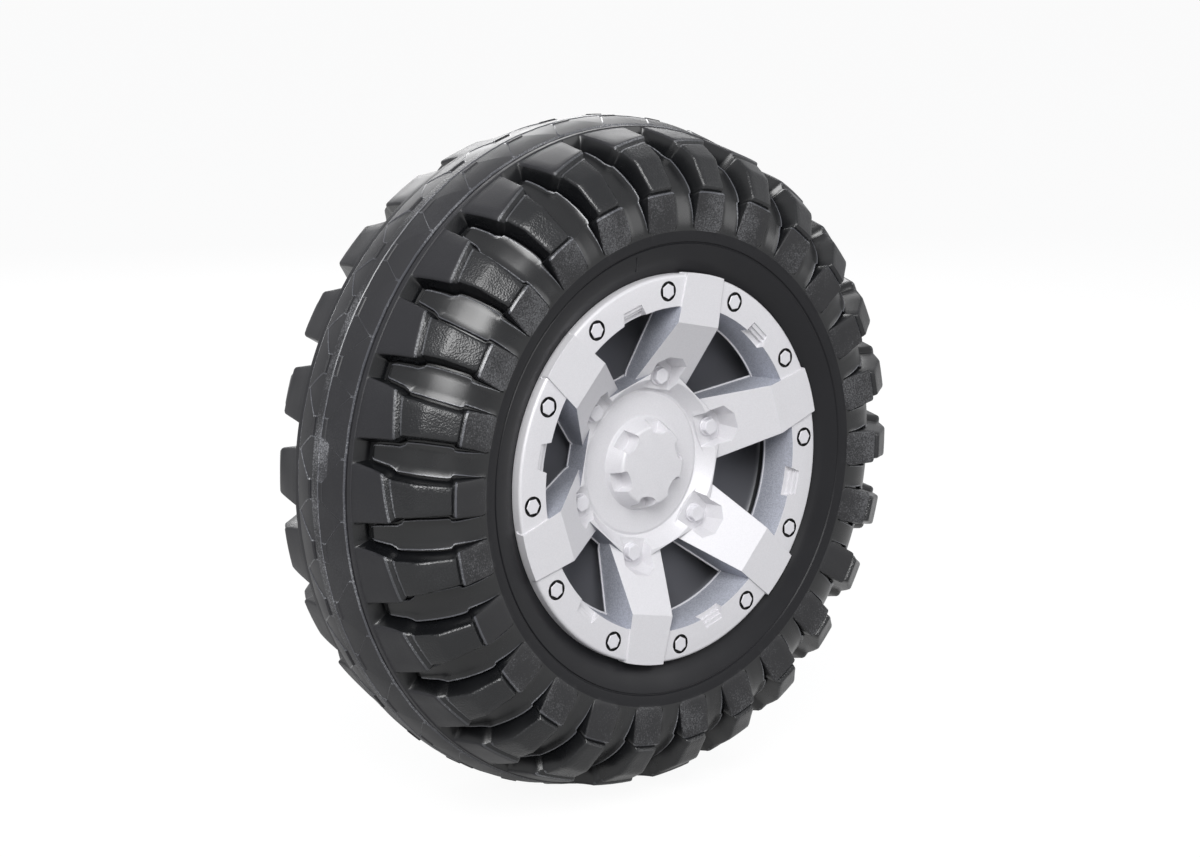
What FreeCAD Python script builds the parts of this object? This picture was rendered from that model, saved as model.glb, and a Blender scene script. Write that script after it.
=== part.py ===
import FreeCAD, Part
import math
import os
import Sketcher
from FreeCAD import Placement, Rotation, Vector

# Rear wheel of a ride-on toy off-roader on the end of its axle.
# Millimetres. The wheel turns about Y: its outer face looks towards -Y and Z is up.
# The origin is where the bare end of the axle leaves the wheel, at the clip's inboard face.

doc = FreeCAD.newDocument("ride_on_wheel")

# Driving dimensions
SIZES = [
    ("crown_radius", 172.4, "tyre radius on the moulding seam"),
    ("band_half_width", 19.4, "half the width of the middle band"),
    ("band_edge_drop", 3.6, "how far the band falls from the seam to its edge"),
    ("strip_width", 4.0, "plain strip between the band and the lugs"),
    ("strip_drop", 0.5, "how far the strip lies under the band's edge"),
    ("bead_radius", 113.4, "radius of the line where the tyre's side begins"),
    ("bead_half_width", 62.7, "mid plane to that line"),
    ("flank_radius", 129.0, "radius where the tyre's side starts to lean in"),
    ("flank_half_width", 63.0, "mid plane to that point"),
    ("shoulder_radius", 145.0, "radius of the floor between the lugs at the shoulder"),
    ("shoulder_half_width", 53.6, "mid plane to that point"),
    ("floor_bend_radius", 156.0, "radius where the floor between the lugs bends"),
    ("floor_bend_half_width", 40.0, "mid plane to that bend"),
    ("gap_depth", 8.0, "how deep the floor between two lugs lies under the band"),
    ("lug_count", 26, "lugs on each side"),
    ("lug_angle", 8.7, "angle of the first lug from upright"),
    ("lug_focus_half_width", 30.0, "mid plane to the point that a lug's walls run towards"),
    ("lug_focus_radius", 118.0, "radius of that point"),
    ("lug_foot", 22.0, "distance from that point to the buried foot of a lug"),
    ("lug_draft", 6.0, "draft of a lug's walls in degrees"),
    ("crown_block_drop", 0.9, "how far the crown block's top lies under the band's edge"),
    ("crown_block_width", 28.8, "lug width beside the band"),
    ("crown_block_end_width", 23.4, "lug width at the end of the crown block"),
    ("crown_block_length", 20.7, "crown block from the strip to its end, along the axle"),
    ("crown_block_fall", 4.1, "how far the crown block's top falls on the way"),
    ("block_lap", 2.0, "how far the next block reaches under the one before"),
    ("block_dip", 0.3, "how far the middle block starts under the crown block's end"),
    ("mid_block_width", 17.5, "width of the middle block beside the crown block"),
    ("mid_block_end_width", 13.4, "width of the middle block on the tyre's side"),
    ("mid_block_radius", 141.4, "where the middle block ends on the tyre's side"),
    ("plate_radius", 138.4, "where the flat plate starts"),
    ("knee_height", 9.8, "height of the middle block's bend over the shoulder"),
    ("knee_reach", 3.1, "how far that bend stands out from the shoulder"),
    ("plate_width", 17.6, "width of the flat plate on the tyre's side"),
    ("plate_inner_radius", 119.2, "where the plate runs out into the side"),
    ("plate_rise", 3.0, "how far the plate's outer end stands out from the bead line"),
    ("plate_end_rise", 0.9, "how far its inner end stands out"),
    ("seat_radius", 98.6, "radius of the round seat for the hub cap"),
    ("seat_depth", 5.9, "depth of that seat under the cap's face"),
    ("well_radius", 92.0, "radius of the well behind the cap"),
    ("well_depth", 36.0, "depth of the well under the cap's face"),
    ("cap_face", 61.2, "mid plane to the cap's face"),
    ("back_floor", 14.0, "mid plane to the inboard web"),
    ("back_well_radius", 90.0, "radius of the inboard well"),
    ("hub_radius", 36.0, "radius of the moulded hub on the inboard side"),
    ("hub_back", 56.0, "mid plane to the hub's inboard end"),
    ("rib_thickness", 4.0, "ribs in the inboard well"),
    ("rib_height", 20.0, "rib height over the inboard web"),
    ("rib_root", 2.0, "how deep a rib's edges are buried in what carries it"),
    ("rib_count", 6, "ribs in the inboard well"),
    ("axle_radius", 6.0, "radius of the steel axle"),
    ("stub_length", 60.0, "bare axle beyond the clip"),
    ("axle_chamfer", 1.0, "chamfer on both ends of the axle"),
    ("axle_end_gap", 0.8, "axle's outer end to the inside of the cap's boss"),
    ("running_gap", 0.05, "radial play of the axle in its bushes"),
    ("end_play", 0.3, "play between bush flange and washer"),
    ("bush_wall", 2.95, "wall of a bush"),
    ("bush_length", 25.0, "bush length behind its flange"),
    ("bush_flange_radius", 14.0, "radius of a bush's flange"),
    ("bush_flange", 1.5, "thickness of a bush's flange"),
    ("washer_radius", 12.0, "radius of both washers"),
    ("washer_thickness", 2.0, "thickness of both washers"),
    ("nut_flats", 19.0, "lock nut across its flats"),
    ("nut_hex_height", 8.5, "height of the nut's hexagon"),
    ("nut_collar_height", 3.5, "height of the round collar with the locking ring"),
    ("nut_collar_radius", 8.4, "radius of that collar"),
    ("clip_thickness", 1.2, "thickness of the retaining clip"),
    ("clip_groove", 1.2, "depth of the clip's groove in the axle"),
    ("clip_radius", 9.0, "outer radius of the clip"),
    ("clip_mouth", 7.7, "width of the clip's open mouth"),
    ("bolt_circle", 90.0, "radius of the circle of ring bolts"),
    ("bolt_spread", 14.56, "angle of a ring bolt from the middle of its spoke"),
    ("spoke_angle", 11.6, "angle of the first spoke from upright"),
    ("spoke_count", 6, "spokes of the cap"),
    ("cap_radius", 97.8, "outer radius of the cap's ring"),
    ("ring_inner_radius", 81.9, "inner radius of the cap's ring"),
    ("cap_wall", 2.5, "wall of the cap"),
    ("cap_gap", 1.0, "play between the cap's skirt and the well"),
    ("cap_edge", 1.5, "broken edge of the cap's ring and boss"),
    ("crease_radius", 73.0, "where a spoke bends inwards"),
    ("spoke_root_radius", 45.0, "where a spoke meets the cove round the hub"),
    ("spoke_root_depth", 17.6, "depth of the spoke's root under the face"),
    ("spoke_half_tip", 12.4, "half width of a spoke at the ring"),
    ("spoke_half_root", 16.6, "half width of a spoke at its root"),
    ("spoke_rise", 0.9, "how far the spoke's flat end stands over the ring"),
    ("spoke_tip_radius", 98.6, "how far out the spoke's flat end reaches"),
    ("window_inner", 44.0, "inner side of a window from the centre"),
    ("window_draft", 3.0, "draft of the window walls in degrees"),
    ("wall_depth_ring", 17.3, "depth of the window walls at the ring"),
    ("wall_depth_hub", 28.2, "depth of the window walls at the hub"),
    ("disc_radius", 36.5, "radius of the cap's middle disc"),
    ("disc_depth", 25.2, "depth of that disc under the face"),
    ("disc_step", 2.0, "how far the cap's back steps in behind the disc's edge"),
    ("boss_base_radius", 24.1, "radius of the boss at its foot"),
    ("boss_top_radius", 20.0, "radius of the boss at its top"),
    ("boss_top_depth", 15.7, "depth of the boss's top under the face"),
    ("notch_width", 10.2, "width of a notch in the boss's rim"),
    ("notch_depth", 4.5, "how far a notch reaches in from the rim"),
    ("notch_drop", 5.0, "how deep a notch is cut"),
    ("ring_pocket_radius", 5.0, "radius of a ring bolt's pocket"),
    ("ring_pocket_depth", 1.6, "depth of that pocket"),
    ("ring_bolt_flats", 7.6, "ring bolt across its flats"),
    ("ring_bolt_rise", 0.4, "how far its head stands over the ring"),
    ("lug_bolt_circle", 45.0, "radius of the circle of lug bolts"),
    ("lug_pocket_width", 19.4, "width of a lug bolt's pocket"),
    ("lug_pocket_outer", 54.9, "how far out that pocket reaches"),
    ("lug_pocket_depth", 23.6, "depth of its floor under the face"),
    ("lug_pocket_corner", 5.0, "how far its corners are cut back"),
    ("lug_pocket_gap", 0.5, "cap's middle disc to the pocket"),
    ("lug_washer_radius", 5.0, "radius of a lug bolt's flange"),
    ("lug_washer_height", 1.2, "height of that flange"),
    ("lug_bolt_flats", 7.6, "lug bolt across its flats"),
    ("lug_bolt_height", 2.8, "height of its head over the flange"),
    ("drive_flange_radius", 34.0, "radius of the drive hub's flange"),
    ("drive_flange", 4.0, "thickness of that flange"),
    ("drive_bore_radius", 16.0, "bore of the drive hub, inside its teeth"),
    ("drive_root_radius", 18.5, "radius between the teeth"),
    ("drive_socket_radius", 24.0, "outer radius of the socket"),
    ("drive_socket_height", 12.0, "height of the socket over the flange"),
    ("drive_teeth", 8, "teeth in the socket"),
    ("drive_tooth_width", 5.0, "width of a tooth"),
    ("drive_tooth_flare", 0.6, "how much wider its root is on each side"),
    ("drive_tooth_inset", 0.5, "mouth of the socket to the tooth's end"),
    ("screw_circle", 29.0, "radius of the circle of drive screws"),
    ("screw_count", 4, "screws in the drive hub"),
    ("screw_head_radius", 3.2, "radius of a screw's head"),
    ("screw_head_height", 2.0, "height of a screw's head"),
]

sheet = doc.addObject("Spreadsheet::Sheet", "Sizes")
for row, (alias, value, note) in enumerate(SIZES, start=1):
    sheet.set("A%d" % row, note)
    sheet.set("B%d" % row, str(value))
    sheet.setAlias("B%d" % row, alias)
doc.recompute()


def size(alias):
    """One driving dimension as a number."""
    return float(sheet.get(alias))


# The wheel's mid plane lies outboard of the origin by the hub, bush flange, washer and clip.
MID_PLANE = ("-(Sizes.hub_back + Sizes.bush_flange + Sizes.end_play"
             " + Sizes.washer_thickness + Sizes.clip_thickness)")

# How far a cutting shape runs past the surface that it opens
PAST = "2"


def new_body(label):
    body = doc.addObject("PartDesign::Body", label)
    body.Label = label
    return body


def new_sketch(body, name, role):
    """A sketch on one of the body's own origin planes."""
    plane = [f for f in body.Origin.OriginFeatures if f.Role == role][0]
    sketch = body.newObject("Sketcher::SketchObject", name)
    sketch.AttachmentSupport = (plane, [""])
    sketch.MapMode = "FlatFace"
    return sketch


def number(sketch, expression):
    value = sketch.evalExpression(str(expression))
    return float(getattr(value, "Value", value))


def outline(sketch, points):
    """A closed outline whose corners are bound to the sheet.

    Each corner is (x, y) in expressions. With a third entry an arc runs to the next corner and
    turns by that many degrees on the way, to the left if it is positive.
    """
    corners = [[number(sketch, e) for e in point] for point in points]
    count = len(points)
    edges = []
    for i in range(count):
        a = Vector(corners[i][0], corners[i][1], 0)
        b = Vector(corners[(i + 1) % count][0], corners[(i + 1) % count][1], 0)
        if len(points[i]) > 2:
            edges.append(sketch.addGeometry(arc_between(a, b, corners[i][2])))
        else:
            edges.append(sketch.addGeometry(Part.LineSegment(a, b)))
    for i in range(count):
        j = (i + 1) % count
        sketch.addConstraint(Sketcher.Constraint(
            "Coincident", edges[i], last_end(corners[i]), edges[j], first_end(corners[j])))
    for i in range(count):
        for kind, entry in (("DistanceX", 0), ("DistanceY", 1)):
            k = sketch.addConstraint(Sketcher.Constraint(
                kind, -1, 1, edges[i], first_end(corners[i]), corners[i][entry]))
            sketch.setExpression("Constraints[%d]" % k, str(points[i][entry]))
        if len(points[i]) > 2:
            x1, y1, turn = points[i]
            x2, y2 = points[(i + 1) % count][:2]
            chord = "sqrt(((%s) - (%s)) ^ 2 + ((%s) - (%s)) ^ 2)" % (x2, x1, y2, y1)
            radius = sketch.Geometry[edges[i]].Radius
            k = sketch.addConstraint(Sketcher.Constraint("Radius", edges[i], radius))
            sketch.setExpression("Constraints[%d]" % k,
                                 "%s / (2 * abs(sin((%s) * 0.5 deg)))" % (chord, turn))


def first_end(corner):
    """An arc that turns right is stored backwards, so its first end is end 2."""
    return 2 if len(corner) > 2 and corner[2] < 0 else 1


def last_end(corner):
    return 3 - first_end(corner)


def arc_between(a, b, turn):
    """The arc from a to b that turns by so many degrees, to the left if it is positive."""
    chord = b - a
    half_turn = math.radians(turn) / 2
    left = Vector(-chord.y, chord.x, 0)
    centre = (a + b) * 0.5 + left * (0.5 / math.tan(half_turn))
    radius = chord.Length / (2 * abs(math.sin(half_turn)))
    first = a if turn > 0 else b
    start = math.atan2(first.y - centre.y, first.x - centre.x)
    circle = Part.Circle(centre, Vector(0, 0, 1), radius)
    return Part.ArcOfCircle(circle, start, start + abs(math.radians(turn)))


def revolve(body, name, points, cut=False):
    """Turns an outline in (Y, radius) about the wheel's axis."""
    sketch = new_sketch(body, name + "_outline", "YZ_Plane")
    outline(sketch, points)
    doc.recompute()
    kind = "PartDesign::Groove" if cut else "PartDesign::Revolution"
    feature = body.newObject(kind, name)
    feature.Profile = sketch
    feature.ReferenceAxis = (sketch, ["H_Axis"])
    feature.Angle = 360.0
    doc.recompute()
    return feature


def place(piece, y, turn="0"):
    """Moves a sub-part along the axle and turns it about the axle."""
    piece.Placement = Placement(Vector(0, 0, 0), Rotation(Vector(0, 1, 0), 1))
    piece.setExpression(".Placement.Base.y", y)
    piece.setExpression(".Placement.Rotation.Angle", turn)
    doc.recompute()


def role(body, name):
    """One of the body's own origin axes or planes."""
    return [f for f in body.Origin.OriginFeatures if f.Role == name][0]


def extrude(body, name, sketch, length, cut=False, into=True, taper=None):
    """Pads or pockets a sketch; into points inboard, along +Y."""
    feature = body.newObject("PartDesign::Pocket" if cut else "PartDesign::Pad", name)
    feature.Profile = sketch
    feature.setExpression("Length", length)
    if taper is not None:
        feature.setExpression("TaperAngle", taper)
    feature.Reversed = (not into) if cut else into
    doc.recompute()
    return feature


def ring_of(body, feature, count, name):
    """Repeats a feature round the wheel's axis."""
    pattern = body.newObject("PartDesign::PolarPattern", name)
    pattern.Originals = [feature]
    pattern.Axis = (role(body, "Y_Axis"), [""])
    pattern.Angle = 360.0
    pattern.setExpression("Occurrences", count)
    body.Tip = pattern
    doc.recompute()
    return pattern


def face_sketch(body, name, depth="0", turn=0.0):
    """A sketch facing outboard at a depth under the body's own face, X to the right and Z up."""
    sketch = new_sketch(body, name, "XZ_Plane")
    sketch.AttachmentOffset = Placement(Vector(0, 0, 0), Rotation(Vector(0, 0, 1), turn))
    sketch.setExpression(".AttachmentOffset.Base.z", "-(%s)" % depth)
    doc.recompute()
    return sketch


def circle(sketch, x, y, radius):
    centre = Vector(number(sketch, x), number(sketch, y), 0)
    i = sketch.addGeometry(Part.Circle(centre, Vector(0, 0, 1), number(sketch, radius)))
    for kind, expression, value in (("DistanceX", x, centre.x), ("DistanceY", y, centre.y)):
        k = sketch.addConstraint(Sketcher.Constraint(kind, -1, 1, i, 3, value))
        sketch.setExpression("Constraints[%d]" % k, expression)
    k = sketch.addConstraint(Sketcher.Constraint("Radius", i, number(sketch, radius)))
    sketch.setExpression("Constraints[%d]" % k, radius)


def hexagon(sketch, x, y, flats):
    """A hexagon with two corners up and down, given across its flats."""
    corners = []
    for angle in range(0, 360, 60):
        corners.append(("(%s) + (%s) / sqrt(3) * sin(%d deg)" % (x, flats, angle),
                        "(%s) + (%s) / sqrt(3) * cos(%d deg)" % (y, flats, angle)))
    outline(sketch, corners)


# Tyre and web, one blow moulding, measured from the mid plane
WELL_FLOOR = "-(Sizes.cap_face - Sizes.well_depth)"
SEAT = "(Sizes.cap_face - Sizes.seat_depth)"
BAND_EDGE = "(Sizes.crown_radius - Sizes.band_edge_drop)"
FLOOR_Y = "(Sizes.band_half_width + Sizes.strip_width)"
STRIP_R = "(%s - Sizes.strip_drop)" % BAND_EDGE
FLOOR_R = "(%s - Sizes.gap_depth)" % BAND_EDGE
BUSH_RADIUS = "(Sizes.axle_radius + Sizes.running_gap + Sizes.bush_wall)"

# From the seat of the hub cap over the tyre's side, the floor between the lugs and the strip
HALF_OUTLINE = [
    (SEAT, "Sizes.seat_radius"),
    ("Sizes.bead_half_width", "Sizes.bead_radius"),
    ("Sizes.flank_half_width", "Sizes.flank_radius"),
    ("Sizes.shoulder_half_width", "Sizes.shoulder_radius"),
    ("Sizes.floor_bend_half_width", "Sizes.floor_bend_radius"),
    (FLOOR_Y, FLOOR_R),
    (FLOOR_Y, STRIP_R),
    ("Sizes.band_half_width", BAND_EDGE),
]
carcass = new_body("carcass")
revolve(carcass, "carcass_form", [
    (WELL_FLOOR, BUSH_RADIUS),
    ("Sizes.hub_back", BUSH_RADIUS),
    ("Sizes.hub_back", "Sizes.hub_radius"),
    ("Sizes.back_floor", "Sizes.hub_radius"),
    ("Sizes.back_floor", "Sizes.back_well_radius"),
] + HALF_OUTLINE + [
    ("0", "Sizes.crown_radius"),
] + [("-(%s)" % y, r) for y, r in reversed(HALF_OUTLINE)] + [
    ("-" + SEAT, "Sizes.well_radius"),
    (WELL_FLOOR, "Sizes.well_radius"),
])

# Ribs across the inboard well, from the hub to the tyre
rib_sketch = new_sketch(carcass, "rib_outline", "XZ_Plane")
rib_sketch.setExpression(".AttachmentOffset.Base.z", "-(Sizes.back_floor - Sizes.rib_root)")
doc.recompute()
outline(rib_sketch, [
    ("-Sizes.rib_thickness / 2", "Sizes.hub_radius - Sizes.rib_root"),
    ("Sizes.rib_thickness / 2", "Sizes.hub_radius - Sizes.rib_root"),
    ("Sizes.rib_thickness / 2", "Sizes.back_well_radius + Sizes.rib_root"),
    ("-Sizes.rib_thickness / 2", "Sizes.back_well_radius + Sizes.rib_root"),
])
rib = extrude(carcass, "rib", rib_sketch, "Sizes.rib_height + Sizes.rib_root")
ring_of(carcass, rib, "Sizes.rib_count", "ribs")


def lug_block(tops, start_width, end_width):
    """One block of a lug, along its top line through points (place from the mid plane, radius).

    Both side walls are flat. They widen by the draft from the straight line between the first and
    the last point, and the block runs down towards the focus, where the carcass buries its foot.
    """
    tops = [Vector(0, -y, r) for y, r in tops]
    run = tops[-1] - tops[0]
    along = Vector(run).normalize()
    outward = along.cross(Vector(1, 0, 0))
    draft = math.tan(math.radians(size("lug_draft")))
    focus = Vector(0, -size("lug_focus_half_width"), size("lug_focus_radius"))

    def wall(point):
        offset = point - tops[0]
        share = offset.dot(along) / run.Length
        half = (start_width + (end_width - start_width) * share) / 2 - offset.dot(outward) * draft
        return Vector(half, point.y, point.z)

    feet = [focus + (top - focus).normalize() * size("lug_foot") for top in tops]
    ring = [wall(point) for point in tops + feet[::-1]]
    other = [Vector(-point.x, point.y, point.z) for point in ring]
    faces = [Part.Face(Part.makePolygon(side + side[:1])) for side in (ring, other)]
    for i in range(len(ring)):
        j = (i + 1) % len(ring)
        faces.append(Part.Face(Part.makePolygon([ring[i], ring[j], other[j], other[i], ring[i]])))
    return Part.Solid(Part.Shell(faces))


def lug_shape():
    """One outboard lug at the top of the wheel: crown block, middle block and side plate."""
    strip_edge = size("band_half_width") + size("strip_width")
    crown_top = size("crown_radius") - size("band_edge_drop") - size("crown_block_drop")
    crown_end = strip_edge + size("crown_block_length")
    crown_end_top = crown_top - size("crown_block_fall")
    widest = size("bead_half_width") + size("plate_rise")
    lap = size("block_lap")
    crown = lug_block([
        (strip_edge - lap, crown_top),
        (crown_end, crown_end_top),
    ], size("crown_block_width"), size("crown_block_end_width"))
    middle = lug_block([
        (crown_end - lap, crown_end_top - size("block_dip")),
        (size("shoulder_half_width") + size("knee_reach"),
         size("shoulder_radius") + size("knee_height")),
        (widest, size("mid_block_radius")),
    ], size("mid_block_width"), size("mid_block_end_width"))
    plate = lug_block([
        (widest - lap, size("mid_block_radius")),
        (widest, size("plate_radius")),
        (size("bead_half_width") + size("plate_end_rise"), size("plate_inner_radius")),
    ], size("plate_width"), size("plate_width"))
    return crown.fuse([middle, plate])


def lug_row(name, inboard):
    """All lugs of one side."""
    lug = lug_shape()
    if inboard:
        lug = lug.mirror(Vector(0, 0, 0), Vector(0, 1, 0))
    pitch = 360.0 / size("lug_count")
    copies = []
    for i in range(int(size("lug_count"))):
        turn = Rotation(Vector(0, 1, 0), size("lug_angle") + i * pitch)
        copies.append(lug.copy())
        copies[-1].Placement = Placement(Vector(0, 0, 0), turn)
    row = doc.addObject("Part::Feature", name)
    row.Shape = Part.makeCompound(copies)
    return row


outer_lugs = lug_row("outer_lugs", False)
inner_lugs = lug_row("inner_lugs", True)
wheel_shell = doc.addObject("Part::MultiFuse", "wheel_shell")
wheel_shell.Label = "wheel_shell"
wheel_shell.Shapes = [carcass, outer_lugs, inner_lugs]
place(wheel_shell, MID_PLANE)

# Hub cap: a moulded dish with six spokes, measured inboard from the ring's face.
# Its envelope is turned, then cut by the hollow behind its skin and by the windows.
SLOPE = "((Sizes.crease_radius - Sizes.spoke_root_radius) / Sizes.spoke_root_depth)"
SLANTED_WALL = "(Sizes.cap_wall * sqrt(1 + 1 / %s ^ 2))" % SLOPE
CAP_BACK = "(Sizes.wall_depth_hub + 6 * %s)" % PAST

# The hollow in the boss stays inside its notches.
BOSS_HOLLOW = "(Sizes.boss_top_radius - Sizes.notch_depth - Sizes.cap_wall)"

envelope = new_body("cap_envelope")
revolve(envelope, "cap_front", [
    ("Sizes.boss_top_depth", "0"),
    ("Sizes.boss_top_depth", "Sizes.boss_top_radius - Sizes.cap_edge"),
    ("Sizes.boss_top_depth + Sizes.cap_edge", "Sizes.boss_top_radius"),
    ("Sizes.disc_depth", "Sizes.boss_base_radius"),
    ("Sizes.disc_depth", "Sizes.disc_radius"),
    ("Sizes.spoke_root_depth", "Sizes.spoke_root_radius"),
    ("0", "Sizes.crease_radius"),
    ("0", "Sizes.cap_radius - Sizes.cap_edge"),
    ("Sizes.cap_edge", "Sizes.cap_radius"),
    ("Sizes.seat_depth", "Sizes.cap_radius"),
    ("Sizes.seat_depth", "Sizes.well_radius - Sizes.cap_gap"),
    ("Sizes.wall_depth_ring", "Sizes.ring_inner_radius + Sizes.cap_wall"),
    ("Sizes.wall_depth_hub", "Sizes.window_inner - Sizes.cap_wall"),
    ("Sizes.wall_depth_hub", "Sizes.disc_radius - Sizes.disc_step"),
    ("Sizes.disc_depth + Sizes.cap_wall", "Sizes.disc_radius - 2 * Sizes.disc_step"),
    ("Sizes.disc_depth + Sizes.cap_wall", "0"),
])

hollow = new_body("cap_hollow")
revolve(hollow, "behind_skin", [
    ("Sizes.boss_top_depth + Sizes.cap_wall", "0"),
    ("Sizes.boss_top_depth + Sizes.cap_wall", BOSS_HOLLOW),
    ("Sizes.boss_top_depth + Sizes.notch_drop + Sizes.cap_wall", BOSS_HOLLOW),
    ("Sizes.disc_depth + Sizes.cap_wall", "Sizes.boss_base_radius - Sizes.cap_wall"),
    ("Sizes.disc_depth + Sizes.cap_wall", "Sizes.disc_radius"),
    ("%s" % SLANTED_WALL, "Sizes.crease_radius"),
    ("Sizes.cap_wall", "Sizes.cap_radius - Sizes.cap_wall"),
    (CAP_BACK, "Sizes.cap_radius - Sizes.cap_wall"),
    (CAP_BACK, "0"),
])

HALF_PITCH = "(180 deg / Sizes.spoke_count)"
EDGE_SLOPE = ("((Sizes.spoke_half_root - Sizes.spoke_half_tip)"
              " / (Sizes.spoke_tip_radius - Sizes.spoke_root_radius))")


def window(sketch, grow):
    """A window between two spokes, straight above the axle, larger all round by grow."""
    edge_at_axle = "(Sizes.spoke_half_root + %s * Sizes.spoke_root_radius - %s)" % (EDGE_SLOPE, grow)
    inner = "(Sizes.window_inner - %s)" % grow
    outer = "(Sizes.ring_inner_radius + %s)" % grow
    inner_reach = "((%s - %s * sin(%s)) / (cos(%s) - %s * sin(%s)))" % (
        inner, edge_at_axle, HALF_PITCH, HALF_PITCH, EDGE_SLOPE, HALF_PITCH)
    outer_half = "(%s - %s * %s)" % (edge_at_axle, EDGE_SLOPE, outer)
    outer_reach = "sqrt(%s ^ 2 - %s ^ 2)" % (outer, outer_half)
    corners = []
    for reach in (inner_reach, outer_reach):
        half = "(%s - %s * %s)" % (edge_at_axle, EDGE_SLOPE, reach)
        x = "(%s * sin(%s) - %s * cos(%s))" % (reach, HALF_PITCH, half, HALF_PITCH)
        z = "(%s * cos(%s) + %s * sin(%s))" % (reach, HALF_PITCH, half, HALF_PITCH)
        corners.append((x, z))
    (x_in, z_in), (x_out, z_out) = corners
    turn = "(2 * atan(%s / %s) / 1 deg)" % (x_out, z_out)
    outline(sketch, [("-" + x_in, z_in), (x_in, z_in), (x_out, z_out, turn), ("-" + x_out, z_out)])


def lug_pocket(sketch, grow):
    """The eight-cornered pocket round a lug bolt, in a spoke that points up."""
    half = "(Sizes.lug_pocket_width / 2 + %s)" % grow
    low = "(Sizes.disc_radius + Sizes.lug_pocket_gap - %s)" % grow
    high = "(Sizes.lug_pocket_outer + %s)" % grow
    clip = "Sizes.lug_pocket_corner"
    outline(sketch, [
        ("-(%s - %s)" % (half, clip), low),
        ("%s - %s" % (half, clip), low),
        (half, "%s + %s" % (low, clip)),
        (half, "%s - %s" % (high, clip)),
        ("%s - %s" % (half, clip), high),
        ("-(%s - %s)" % (half, clip), high),
        ("-" + half, "%s - %s" % (high, clip)),
        ("-" + half, "%s + %s" % (low, clip)),
    ])


# The walls round the windows and the lug bolt pockets stand in the hollow.
window_walls = new_body("window_walls")
sketch = face_sketch(window_walls, "window_wall_outline")
window(sketch, "Sizes.cap_wall")
wall = extrude(window_walls, "window_wall", sketch, CAP_BACK)
ring_of(window_walls, wall, "Sizes.spoke_count", "window_wall_ring")

pocket_walls = new_body("pocket_walls")
sketch = face_sketch(pocket_walls, "pocket_wall_outline")
lug_pocket(sketch, "Sizes.cap_wall")
wall = extrude(pocket_walls, "pocket_wall", sketch, "Sizes.lug_pocket_depth + Sizes.cap_wall")
ring_of(pocket_walls, wall, "Sizes.spoke_count", "pocket_wall_ring")

windows = new_body("windows")
sketch = face_sketch(windows, "window_outline", "-" + PAST)
window(sketch, "0")
opening = extrude(windows, "window", sketch, CAP_BACK, taper="-Sizes.window_draft")
ring_of(windows, opening, "Sizes.spoke_count", "window_ring")

lug_pockets = new_body("lug_pockets")
sketch = face_sketch(lug_pockets, "lug_pocket_outline")
lug_pocket(sketch, "0")
pocket = extrude(lug_pockets, "lug_pocket", sketch, "Sizes.lug_pocket_depth")
ring_of(lug_pockets, pocket, "Sizes.spoke_count", "lug_pocket_ring")

bolt_pockets = new_body("bolt_pockets")
sketch = face_sketch(bolt_pockets, "bolt_pocket_outline", "-" + PAST)
for sign in ("", "-"):
    circle(sketch, "%sSizes.bolt_circle * sin(Sizes.bolt_spread * 1 deg)" % sign,
           "Sizes.bolt_circle * cos(Sizes.bolt_spread * 1 deg)", "Sizes.ring_pocket_radius")
pocket = extrude(bolt_pockets, "bolt_pocket", sketch, "Sizes.ring_pocket_depth + " + PAST)
ring_of(bolt_pockets, pocket, "Sizes.spoke_count", "bolt_pocket_ring")

boss_notches = new_body("boss_notches")
sketch = face_sketch(boss_notches, "boss_notch_outline", "Sizes.boss_top_depth - " + PAST)
NOTCH_START = "Sizes.boss_top_radius - Sizes.notch_depth + Sizes.notch_width / 2"
outline(sketch, [
    ("-Sizes.notch_width / 2", "Sizes.boss_base_radius + " + PAST),
    ("-Sizes.notch_width / 2", NOTCH_START, "160"),
    ("Sizes.notch_width / 2", NOTCH_START),
    ("Sizes.notch_width / 2", "Sizes.boss_base_radius + " + PAST),
])
notch = extrude(boss_notches, "boss_notch", sketch, "Sizes.notch_drop + " + PAST)
ring_of(boss_notches, notch, "Sizes.spoke_count", "boss_notch_ring")

# The flat outer ends of the spokes stand a little over the ring.
spoke_ends = new_body("spoke_ends")
sketch = face_sketch(spoke_ends, "spoke_end_outline", "-Sizes.spoke_rise")
outline(sketch, [
    ("-(Sizes.spoke_half_tip + %s * (Sizes.spoke_tip_radius - Sizes.crease_radius))" % EDGE_SLOPE,
     "Sizes.crease_radius"),
    ("Sizes.spoke_half_tip + %s * (Sizes.spoke_tip_radius - Sizes.crease_radius)" % EDGE_SLOPE,
     "Sizes.crease_radius"),
    ("Sizes.spoke_half_tip", "sqrt(Sizes.cap_radius ^ 2 - Sizes.spoke_half_tip ^ 2)",
     "2 * asin(Sizes.spoke_half_tip / Sizes.cap_radius) / 1 deg"),
    ("-Sizes.spoke_half_tip", "sqrt(Sizes.cap_radius ^ 2 - Sizes.spoke_half_tip ^ 2)"),
])
end_pad = extrude(spoke_ends, "spoke_end", sketch, "Sizes.spoke_rise + Sizes.cap_wall")
ring_of(spoke_ends, end_pad, "Sizes.spoke_count", "spoke_end_ring")


def cut(name, base, tools):
    """Base less every tool in turn."""
    for i, tool in enumerate(tools):
        step = doc.addObject("Part::Cut", "%s_%d" % (name, i + 1) if i < len(tools) - 1 else name)
        step.Base = base
        step.Tool = tool
        base = step
    doc.recompute()
    return base


def turn_only(piece, angle):
    piece.Placement = Placement(Vector(0, 0, 0), Rotation(Vector(0, 1, 0), 1))
    piece.setExpression(".Placement.Rotation.Angle", angle)


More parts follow.
